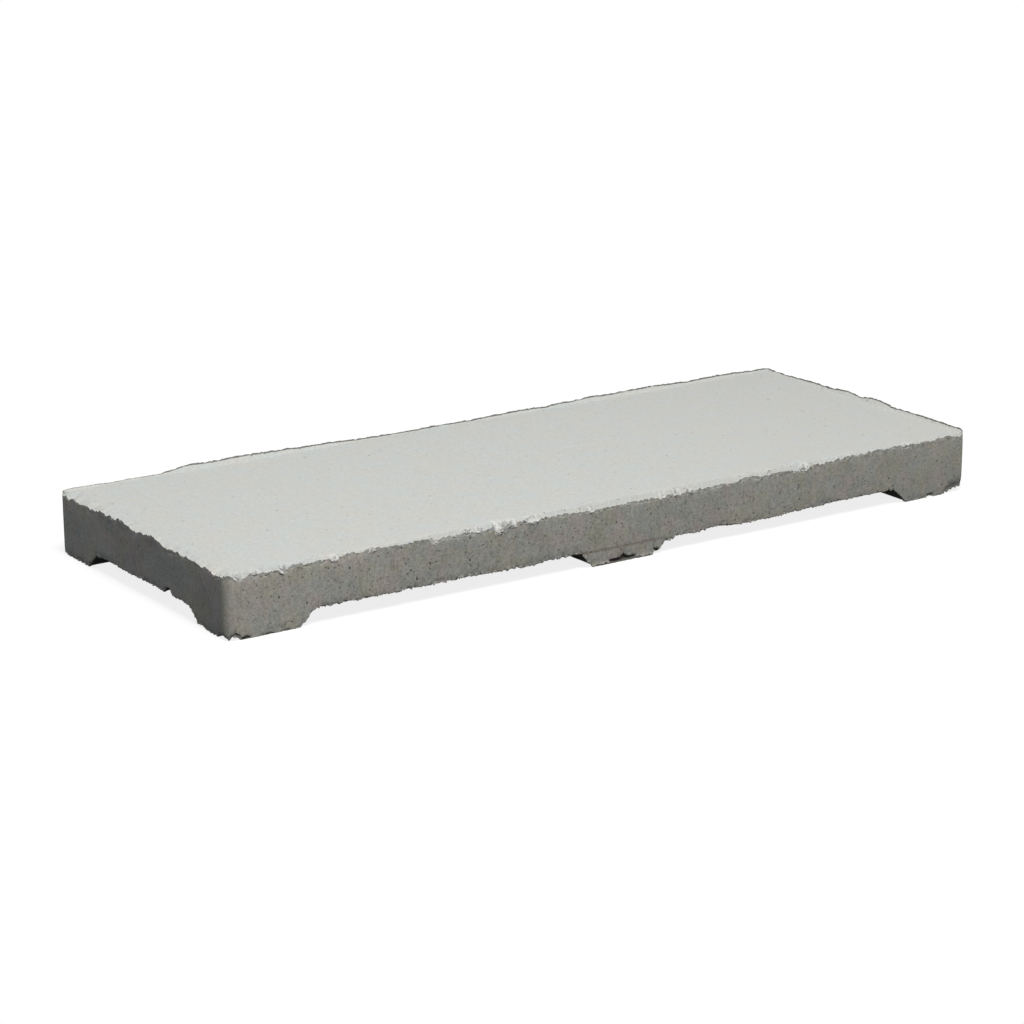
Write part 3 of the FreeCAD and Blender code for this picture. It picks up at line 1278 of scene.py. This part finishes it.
    @staticmethod
    def pores(sheet: NodeSheet, groups: ClayGroups, place: bpy.types.NodeSocket, rate: float,
              radius: float) -> bpy.types.NodeSocket:
        """Place the pore group and return its mask."""
        inputs = {"Vector": place, "Pores Per Metre": rate, "Radius": radius}
        return sheet.add("ShaderNodeGroup", inputs, node_tree=groups.pores).outputs["Mask"]

    def parting(self, sheet: NodeSheet, place: bpy.types.NodeSocket) -> bpy.types.NodeSocket:
        """Faint brown line that the mould left across the middle feet.

        Args:
            sheet: where the nodes go.
            place: the coordinates.

        Returns:
            A mask of the line.
        """
        where = sheet.add("ShaderNodeSeparateXYZ", {0: place})
        wobble = sheet.calc("MULTIPLY_ADD", sheet.noise(place, 90.0), 0.0006, -0.0003)
        off = sheet.calc("SUBTRACT", where.outputs["Z"], self.parting_height * MM)
        away = sheet.calc("ABSOLUTE", sheet.calc("ADD", off, wobble))
        line = sheet.span(away, 0.0008, 0.0001)
        half = self.parting_half * MM
        along = sheet.span(sheet.calc("ABSOLUTE", where.outputs["X"]), half + self.parting_fade * MM, half)
        shown = sheet.calc("MULTIPLY", line, sheet.mark("side"))
        return sheet.calc("MULTIPLY", shown, along)

    def face_colour(self, sheet: NodeSheet, groups: ClayGroups, place: bpy.types.NodeSocket,
                    tone: bpy.types.NodeSocket) -> tuple[bpy.types.NodeSocket, bpy.types.NodeSocket]:
        """Colour of the working face: a smooth pale skin with faint patches and a few specks and small
        pits, whose grey is partly speck tone and partly painted shade in the pits.

        Args:
            sheet: where the nodes go.
            groups: the effects that the clay finishes share.
            place: the coordinates.
            tone: light and dark of the grains.

        Returns:
            The colour, and a mask of the specks.
        """
        mottle = sheet.add("ShaderNodeGroup", {
            "Vector": place, "Base": self.face, "Tint": self.face_warm,
            "Second Tint": self.face_cool}, node_tree=groups.mottle)
        tinted = sheet.blend(sheet.drift(place, 0.0, 0.15, 0.0, 0.2), mottle.outputs[0], self.face_warm)
        drift = sheet.drift(place, -0.05, 0.05, 0.977, 0.997, "Y")
        grainy = sheet.drift(place, 0.0, 0.12, 0.23, 0.14)
        level = sheet.calc("MULTIPLY_ADD", sheet.calc("SUBTRACT", tone, 0.5), grainy, drift)
        colour = sheet.shaded(tinted, level)
        near = sheet.span(sheet.mark("edge"), -7.0, -1.0)
        patchy = sheet.span(sheet.noise(place, 90.0), 0.45, 0.6)
        crowd = self.pores(sheet, groups, place, 520.0, 0.26)
        crowd = sheet.calc("MULTIPLY", crowd, sheet.calc("MULTIPLY", near, patchy))
        specks = sheet.calc("MAXIMUM", crowd, self.pores(sheet, groups, place, 290.0, 0.18))
        # The specks' grey is partly the clay's own tone and partly painted shade in small pits.
        return sheet.blend(sheet.calc("MULTIPLY", specks, 0.85), colour, self.speck_and_pit_shade), specks


@dataclass(frozen=True)
class BrokenClay:
    """Finish of loose crumbs and flakes: pale, matt and grainy all over."""

    colour: Colour = (0.75, 0.745, 0.715)
    warm: Colour = (0.71, 0.69, 0.64)
    cool: Colour = (0.78, 0.78, 0.76)
    roughness: float = 0.95
    specular: float = 0.2
    grains_per_metre: float = 2200.0
    bump_strength: float = 0.5
    bump_metres: float = 0.0002

    def make(self, groups: ClayGroups) -> bpy.types.Material:
        """Build the material.

        Args:
            groups: the effects that the clay finishes share.

        Returns:
            The material.
        """
        material, sheet, output = empty_material("broken_clay")
        place = sheet.add("ShaderNodeTexCoord").outputs["Object"]
        grain = sheet.add("ShaderNodeGroup", {
            "Vector": place, "Grains Per Metre": self.grains_per_metre}, node_tree=groups.grain)
        mottle = sheet.add("ShaderNodeGroup", {
            "Vector": place, "Base": self.colour, "Tint": self.warm,
            "Second Tint": self.cool}, node_tree=groups.mottle)
        level = sheet.calc("MULTIPLY_ADD", grain.outputs["Tone"], 0.3, 0.85)
        colour = sheet.shaded(mottle.outputs[0], level)
        bump = sheet.add("ShaderNodeBump", {
            "Strength": self.bump_strength, "Distance": self.bump_metres,
            "Height": grain.outputs["Height"]})
        shader = sheet.add("ShaderNodeBsdfPrincipled", {
            "Base Color": colour, "Roughness": self.roughness, "Specular IOR Level": self.specular,
            "Normal": bump.outputs[0]})
        sheet.feed(output.inputs["Surface"], shader.outputs[0])
        return material


@dataclass(frozen=True)
class RimLitter:
    """Crumbs or flakes of clay that still cling to the slab's surface."""

    name: str
    mark: str
    per_square_metre: float
    smallest: tuple[float, float, float]
    largest: tuple[float, float, float]
    unevenness: float
    seed: int
    tip: float = 0.5
    lumps_per_metre: float = 1500.0

    def tree(self) -> bpy.types.NodeTree:
        """Build the scatter: points by a mark's strength, one rough lump on each.

        Returns:
            The geometry node tree.
        """
        tree = bpy.data.node_groups.new(self.name, "GeometryNodeTree")
        sockets = {"Geometry": "NodeSocketGeometry", "Density": "NodeSocketFloat",
                   "Smallest": "NodeSocketVector", "Largest": "NodeSocketVector",
                   "Unevenness": "NodeSocketFloat", "Seed": "NodeSocketInt",
                   "Material": "NodeSocketMaterial"}
        for label, kind in sockets.items():
            tree.interface.new_socket(label, in_out="INPUT", socket_type=kind)
        tree.interface.new_socket("Geometry", in_out="OUTPUT", socket_type="NodeSocketGeometry")
        sheet = NodeSheet(tree)
        given = sheet.add("NodeGroupInput").outputs
        mark = sheet.add("GeometryNodeInputNamedAttribute", {"Name": self.mark}, data_type="FLOAT")
        density = sheet.calc("MULTIPLY", mark.outputs["Attribute"], given["Density"])
        points = sheet.add("GeometryNodeDistributePointsOnFaces", {
            "Mesh": given["Geometry"], "Density": density, "Seed": given["Seed"]})
        lump = sheet.add("GeometryNodeMeshIcoSphere", {"Radius": 1.0, "Subdivisions": 1})
        size = sheet.add("FunctionNodeRandomValue", {
            0: given["Smallest"], 1: given["Largest"], "Seed": given["Seed"]}, data_type="FLOAT_VECTOR")
        spin = sheet.add("FunctionNodeRandomValue", {
            0: (-self.tip, -self.tip, 0.0), 1: (self.tip, self.tip, 2 * math.pi),
            "Seed": given["Seed"]}, data_type="FLOAT_VECTOR")
        turn = sheet.add("FunctionNodeEulerToRotation", {0: spin.outputs[0]})
        rotation = sheet.add("FunctionNodeRotateRotation", {
            "Rotation": points.outputs["Rotation"], "Rotate By": turn.outputs[0]}, rotation_space="LOCAL")
        lumps = sheet.add("GeometryNodeInstanceOnPoints", {
            "Points": points.outputs["Points"], "Instance": lump.outputs[0],
            "Rotation": rotation.outputs[0], "Scale": size.outputs[0]})
        real = sheet.add("GeometryNodeRealizeInstances", {0: lumps.outputs[0]})
        place = sheet.add("GeometryNodeInputPosition").outputs[0]
        noise = sheet.add("ShaderNodeTexNoise", {
            "Vector": place, "Scale": self.lumps_per_metre, "Detail": 2.0})
        centred = sheet.add("ShaderNodeVectorMath", {0: noise.outputs["Color"], 1: (0.5, 0.5, 0.5)},
                            operation="SUBTRACT")
        offset = sheet.add("ShaderNodeVectorMath", {0: centred.outputs[0], "Scale": given["Unevenness"]},
                           operation="SCALE")
        rough = sheet.add("GeometryNodeSetPosition", {"Geometry": real.outputs[0],
                                                      "Offset": offset.outputs[0]})
        flat = sheet.add("GeometryNodeSetShadeSmooth", {"Geometry": rough.outputs[0],
                                                        "Shade Smooth": False})
        clad = sheet.add("GeometryNodeSetMaterial", {"Geometry": flat.outputs[0],
                                                     "Material": given["Material"]})
        sheet.add("NodeGroupOutput", {"Geometry": clad.outputs[0]})
        return tree

    def build(self, slab: bpy.types.Object, finish: bpy.types.Material) -> bpy.types.Object:
        """Scatter the litter over the slab.

        Args:
            slab: the slab that carries it.
            finish: the litter's material.

        Returns:
            The litter as one plain mesh object.
        """
        tree = self.tree()
        host = bpy.data.objects.new(self.name + "_host", slab.data)
        bpy.context.scene.collection.objects.link(host)
        modifier = host.modifiers.new(self.name, "NODES")
        modifier.node_group = tree
        values = {"Density": self.per_square_metre,
                  "Smallest": [size * MM for size in self.smallest],
                  "Largest": [size * MM for size in self.largest],
                  "Unevenness": self.unevenness * MM, "Seed": self.seed, "Material": finish}
        for item in tree.interface.items_tree:
            if item.in_out == "INPUT" and item.name in values:
                modifier[item.identifier] = values[item.name]
        graph = bpy.context.evaluated_depsgraph_get()
        mesh = bpy.data.meshes.new_from_object(host.evaluated_get(graph), depsgraph=graph)
        bpy.data.objects.remove(host)
        mesh.name = self.name
        litter = bpy.data.objects.new(self.name, mesh)
        bpy.context.scene.collection.objects.link(litter)
        return litter


@dataclass(frozen=True)
class Studio:
    """Floor, lamp, surroundings and camera, in metres."""

    camera_place: tuple[float, float, float] = (-0.6037, -0.8791, 0.3195)
    camera_forward: tuple[float, float, float] = (0.5387, 0.7932, -0.2842)
    lens: float = 110.94
    sensor: float = 36.0
    clip: tuple[float, float] = (0.01, 50.0)
    key_place: tuple[float, float, float] = (-0.15, -0.45, 1.05)
    key_aim: tuple[float, float, float] = (0.0, 0.0, 0.02)
    key_size: float = 0.5
    key_watts: float = 11.45
    key_colour: Colour = (1.0, 0.985, 0.95)
    ambient: Colour = (0.92, 0.99, 1.18)
    ambient_strength: float = 0.185
    floor_half: float = 6.0
    floor_drop: float = 0.00005
    floor_glow: float = 0.83
    floor_shade: float = 0.24
    floor_bounce: float = 0.03
    shadow_reach: tuple[float, float] = (0.228, 0.38)

    def build(self) -> None:
        """Set up floor, lamp, surroundings and camera."""
        self.lay_floor()
        self.hang_key()
        self.surround()
        self.place_camera()
        bpy.context.scene.view_settings.view_transform = "Standard"

    def lay_floor(self) -> None:
        """Lay a wide pale floor just under the soles."""
        half = self.floor_half
        mesh = bpy.data.meshes.new("studio_floor")
        corners = [(-half, -half), (half, -half), (half, half), (-half, half)]
        mesh.from_pydata([(x, y, -self.floor_drop) for x, y in corners], [], [(0, 1, 2, 3)])
        mesh.materials.append(self.floor_finish())
        floor = bpy.data.objects.new("studio_floor", mesh)
        bpy.context.scene.collection.objects.link(floor)

    @staticmethod
    def seen(sheet: NodeSheet) -> bpy.types.NodeSocket:
        """Mask of the rays that show the backdrop: camera, mirror and glass rays."""
        path = sheet.add("ShaderNodeLightPath")
        mirrored = sheet.calc("MAXIMUM", path.outputs["Is Glossy Ray"],
                              path.outputs["Is Transmission Ray"])
        return sheet.calc("MAXIMUM", path.outputs["Is Camera Ray"], mirrored)

    def floor_finish(self) -> bpy.types.Material:
        """White floor that keeps a pale shadow.

        Returns:
            The material.
        """
        material, sheet, output = empty_material("studio_white")
        glow = sheet.add("ShaderNodeEmission", {"Color": (1.0, 1.0, 1.0), "Strength": self.floor_glow})
        pale = sheet.add("ShaderNodeBsdfDiffuse", {"Color": (self.floor_shade,) * 3})
        white = sheet.add("ShaderNodeAddShader", {0: glow.outputs[0], 1: pale.outputs[0]})
        dim = sheet.add("ShaderNodeBsdfDiffuse", {"Color": (self.floor_bounce,) * 3})
        plain = sheet.add("ShaderNodeEmission", {"Color": (1.0, 1.0, 1.0), "Strength": 1.0})
        place = sheet.add("ShaderNodeTexCoord").outputs["Object"]
        away = sheet.add("ShaderNodeVectorMath", {0: place}, operation="LENGTH").outputs["Value"]
        far = sheet.span(away, *self.shadow_reach)
        shown = sheet.add("ShaderNodeMixShader", {0: far, 1: white.outputs[0], 2: plain.outputs[0]})
        mix = sheet.add("ShaderNodeMixShader", {0: self.seen(sheet), 1: dim.outputs[0],
                                                2: shown.outputs[0]})
        sheet.feed(output.inputs["Surface"], mix.outputs[0])
        return material

    def hang_key(self) -> None:
        """Hang the one large soft lamp above the front."""
        lamp = bpy.data.lights.new("key_softbox", "AREA")
        lamp.shape = "SQUARE"
        lamp.size = self.key_size
        lamp.energy = self.key_watts
        lamp.color = self.key_colour
        holder = bpy.data.objects.new("key_softbox", lamp)
        holder.location = self.key_place
        aim = Vector(self.key_aim) - Vector(self.key_place)
        holder.rotation_euler = aim.to_track_quat("-Z", "Y").to_euler()
        bpy.context.scene.collection.objects.link(holder)

    def surround(self) -> None:
        """Surround the slab with white to look at and a low even light."""
        world = bpy.data.worlds.new("studio")
        world.use_nodes = True
        world.node_tree.nodes.clear()
        sheet = NodeSheet(world.node_tree)
        output = sheet.add("ShaderNodeOutputWorld")
        white = sheet.add("ShaderNodeBackground", {"Color": (1.0, 1.0, 1.0), "Strength": 1.0})
        light = sheet.add("ShaderNodeBackground", {"Color": self.ambient,
                                                   "Strength": self.ambient_strength})
        mix = sheet.add("ShaderNodeMixShader", {0: self.seen(sheet), 1: light.outputs[0],
                                                2: white.outputs[0]})
        sheet.feed(output.inputs["Surface"], mix.outputs[0])
        bpy.context.scene.world = world

    def place_camera(self) -> None:
        """Stand the camera where the slab is seen from."""
        lens = bpy.data.cameras.new("camera")
        lens.lens = self.lens
        lens.sensor_width = self.sensor
        lens.clip_start, lens.clip_end = self.clip
        camera = bpy.data.objects.new("camera", lens)
        camera.location = self.camera_place
        camera.rotation_euler = Vector(self.camera_forward).to_track_quat("-Z", "Y").to_euler()
        bpy.context.scene.collection.objects.link(camera)
        bpy.context.scene.camera = camera


UPPER_WEAR = RimWear(
    rim=Rim.UPPER, scallop_length=4.5, cap_reach=4.0, wall_reach=3.4, bite_reach=5.0, grain=1.1,
    seed=41,
    sink={
        Edge.FRONT: ((-152, 0.6), (-150, 0.9), (-147, 2.1), (-144, 0.7), (-138, 1.6), (-135, 1.1),
                     (-132, 1.7), (-128, 0.7), (-121, 1.4), (-117, 0.6), (-114, 1.0), (-110, 0.5),
                     (-101, 0.6), (-98, 0.2), (-96, 0.8), (-91, 0.4), (-86, 1.1), (-78, 0.5),
                     (-75.3, 2.7), (-73, 1.2), (-66, 1.2), (-64, 0.6), (-61, 1.2), (-55, 1.6), (-50, 1.0),
                     (-45, 0.6), (-38, 1.1), (-26, 1.3), (-14, 1.9), (-8, 1.6), (16, 2.0),
                     (19, 1.4), (23, 1.9), (29, 1.7), (40, 1.8), (48, 1.8), (51, 1.4), (53, 0.7),
                     (58, 1.5), (64, 1.1), (71, 1.5), (76.5, 2.5), (80, 1.4), (84, 1.4),
                     (98, 0.7), (104, 0.9), (110, 0.5), (128, 0.5), (138, 1.0), (144, 0.4),
                     (148, 0.5), (149.5, 1.3), (152, 1.2)),
        Edge.LEFT: ((-57, 0.8), (-52, 1.2), (-49, 1.5), (-45, 0.3), (-41, 1.2), (-37, 0.5),
                    (-26, 1.0), (-24, 0.6), (-19, 1.3), (-14, 0.8), (-2, 0.7), (4, 0.9), (10, 0.6),
                    (30, 0.6), (33, 0.9), (36, 1.5), (39, 0.6), (45, 1.3), (48, 0.5), (51, 1.6),
                    (54, 0.9), (57, 1.1))},
    scallop={Edge.FRONT: 0.6, Edge.RIGHT: 0.15, Edge.BACK: 0.15, Edge.LEFT: 0.55},
    bite={Edge.FRONT: 0.3, Edge.RIGHT: 0.25, Edge.BACK: 0.25, Edge.LEFT: 0.2},
    bevel={edge: 0.0 for edge in Edge},
    steepness={Edge.FRONT: 1.15, Edge.RIGHT: 1.0, Edge.BACK: 1.0, Edge.LEFT: 0.36})
LOWER_WEAR = RimWear(
    rim=Rim.LOWER, scallop_length=3.0, cap_reach=1.8, wall_reach=2.6, bite_reach=2.6, grain=0.9,
    seed=57,
    sink={Edge.FRONT: ((-128, -1.0), (-122, -0.7), (-60, -0.6), (-47, -1.0), (-36, -1.2),
                       (-30, -0.4), (-27, -0.9), (-20, -0.3), (-14, -1.2), (20, -0.8),
                       (32, -1.3), (37, -1.0), (42, -0.1), (48, -0.2), (53, -0.6), (64, -0.3),
                       (72, -0.9), (90, -0.8), (97, -0.3), (120, -0.2), (126, -0.8)),
          Edge.RIGHT: ((0, -0.5),), Edge.BACK: ((0, -0.5),), Edge.LEFT: ((0, -0.5),)},
    scallop={edge: 1.2 for edge in Edge},
    bite={edge: 0.15 for edge in Edge},
    bevel={edge: 0.22 for edge in Edge},
    steepness={edge: 1.15 for edge in Edge})
LIP = FlashLip(
    teeth={Edge.FRONT: 0.6, Edge.LEFT: 0.6},
    burr={Edge.BACK: ((-125, 0.2), (-105, 0.46)), Edge.RIGHT: ((0, 0.46),)},
    crest={
        Edge.BACK: ((-152, 0.2), (-149, 0.6), (-139, 0.4), (-115, 0.2), (-109, 1.0), (-103, 1.5),
                    (-76, 1.5), (-66, 1.2), (-48, 0.9), (-36, 0.4), (-10, 0.2), (15, 0.2), (23, 0.4),
                    (36, 0.8), (47, 0.4), (53, 0.9), (58, 0.7), (67, 1.3), (78, 0.9), (94, 1.2),
                    (115, 0.8), (127, 1.1), (138, 0.7), (152, 0.4)),
        Edge.RIGHT: ((-57, 0.3), (-55, 1.0), (-51, 0.9), (-40, 0.9), (-23, 1.0), (-18, 0.7),
                     (-12, 1.7), (-6, 1.7), (0, 0.9), (8, 1.6), (17, 0.7), (28, 0.9), (42, 0.3),
                     (57, 0.4)),
        Edge.LEFT: ((-15, 0.0), (-13, 0.5), (-10, 1.2), (-7, 1.4), (-4, 0.9), (-1, 0.3), (5, 0.0),
                    (9, 0.5), (12, 1.0), (16, 1.0), (18, 0.4), (21, 1.0), (25, 0.2), (30, 0.3),
                    (34, 0.0))})

CHIPS = (
    # Near left foot: a notch, breaks along the sole darkened with painted shade, the worn tip and the full
    # flank behind it.
    Chip((-149.3, -57.0, 0.0), (2.1, 7.0, 2.6), (0.0, 0.4, 1.9), 1.0, 1.0),
    Chip((-145.8, -57.0, 0.3), (2.0, 1.6, 0.8), (0.0, 0.2, 0.2), -0.6),
    Chip((-138.0, -57.0, 0.1), (3.5, 1.4, 0.5), (0.0, 0.1, 0.2), -0.4),
    Chip((-131.0, -57.0, 0.1), (2.0, 1.4, 0.5), (0.0, 0.1, 0.2), -0.4),
    Chip((-152.6, -52.6, 0.0), (8.0, 3.2, 2.0), (0.1, 0.0, 1.1), 1.0, 1.0),
    Chip((-150.0, -34.6, 3.6), (32.0, 5.0, 4.2), (0.0, 0.0, -1.3), 0.0),
    # Front middle foot: a hollow and a broken edge along its sole, darkened with painted shade, and uneven
    # flanks.
    Chip((-1.0, -57.0, 0.8), (5.0, 2.6, 0.85), (0.0, 0.8, 0.0), -1.0),
    Chip((0.6, -57.0, 1.6), (1.4, 2.6, 0.8), (0.0, 0.7, 0.0), -1.0),
    Chip((3.8, -57.0, 0.9), (2.2, 2.6, 0.6), (0.0, 0.5, 0.0), -0.8),
    Chip((0.5, -57.0, 0.0), (18.0, 1.8, 0.9), (0.0, -0.3, 0.0), -0.5),
    Chip((14.4, -57.0, 2.5), (1.3, 2.4, 0.9), (-0.3, 0.7, 0.0), -0.6),
    Chip((17.5, -57.0, 4.5), (5.0, 10.0, 5.0), (0.0, 0.0, -1.5), 0.0),
    Chip((-15.5, -57.0, 2.8), (6.0, 14.0, 4.0), (0.8, 0.0, 0.0), 0.0),
    # Near right foot: its corner is worn off and its sole is notched.
    Chip((153.0, -57.0, 0.0), (10.0, 8.0, 4.0), (0.0, 0.4, 2.3), 1.0, 1.0),
    Chip((137.5, -57.0, 0.0), (1.8, 6.0, 1.6), (0.0, 0.4, 1.0), 1.0, 1.0),
    # Under the front, right of the middle foot: a swollen lower edge.
    Chip((57.0, -57.0, 5.5), (17.0, 6.0, 4.0), (0.0, 0.0, -0.9), 0.0),
    # Three upright corners that were pressed full.
    Chip((-152.5, 57.0, 0.0), (12.0, 40.0, 28.0), (-0.35, 0.1, 0.0), 0.0, 1.0),
    Chip((152.5, -57.0, 4.0), (25.0, 20.0, 20.0), (0.5, -0.1, 0.0), 0.0, 1.0),
    Chip((-152.5, -57.0, 14.0), (20.0, 25.0, 17.0), (-0.58, -0.1, 0.0), 0.0, 1.0),
    # Far left foot: its corner is worn.
    Chip((-152.5, 57.0, 0.0), (6.0, 3.0, 2.5), (0.0, 0.0, 0.9), 1.0, 1.0),
    # Left side: a hollow low down.
    Chip((-152.0, -17.0, 5.3), (5.0, 2.8, 2.4), (0.0, 0.0, 1.9), 1.0, 1.2))

SPALLS = (
    Spall(-148.0, 1.8, 0.4), Spall(-142.0, 1.6, 0.2), Spall(-132.0, 1.5, 0.9),
    Spall(-113.5, 2.0, 0.8), Spall(-99.5, 1.6, 0.4), Spall(-75.5, 1.8, 0.4),
    Spall(-62.8, 1.6, 0.3), Spall(-57.7, 1.8, 0.4), Spall(-49.6, 2.9, 2.5, 1.8),
    Spall(-45.0, 2.0, 1.2, 1.6), Spall(-37.0, 3.2, 0.9, 1.4), Spall(-13.5, 1.8, 0.5),
    Spall(16.5, 2.0, 0.5), Spall(22.5, 2.4, 0.6), Spall(28.0, 1.6, 0.3),
    Spall(62.9, 1.6, 0.7), Spall(78.5, 2.8, 0.6, 1.5), Spall(125.5, 1.5, 0.5))

CRUMBS = RimLitter("rim_crumbs", "crumb", 700000.0, (0.12, 0.12, 0.1), (0.34, 0.3, 0.24), 0.2, 3)
FLAKES = RimLitter("rim_flakes", "flake", 450000.0, (0.25, 0.22, 0.12), (0.6, 0.5, 0.26), 0.3, 8)


def attach(piece: bpy.types.Object, finish: bpy.types.Material | None = None) -> None:
    """Join a finished piece to the model and report it.

    Args:
        piece: the finished piece.
        finish: its material, where it has none yet.
    """
    if finish is not None:
        piece.data.materials.append(finish)
    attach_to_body(piece, BODY)
    LOG.info("%s: %d faces", piece.name, len(piece.data.polygons))


def main() -> None:
    """Build the slab, its litter and the studio."""
    logging.basicConfig(level=logging.INFO, format="%(name)s: %(message)s")
    Studio().build()
    groups = ClayGroups()
    pressed = PressedClay().make(groups)
    loose = BrokenClay().make(groups)
    slab = Slab(SlabForm(), (UPPER_WEAR, LOWER_WEAR), CHIPS, LIP, SPALLS).build()
    litter = [kind.build(slab, loose) for kind in (CRUMBS, FLAKES)]
    attach(slab, pressed)
    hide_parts(NODE)
    for piece in litter:
        attach(piece)


if __name__ == "__main__":
    main()
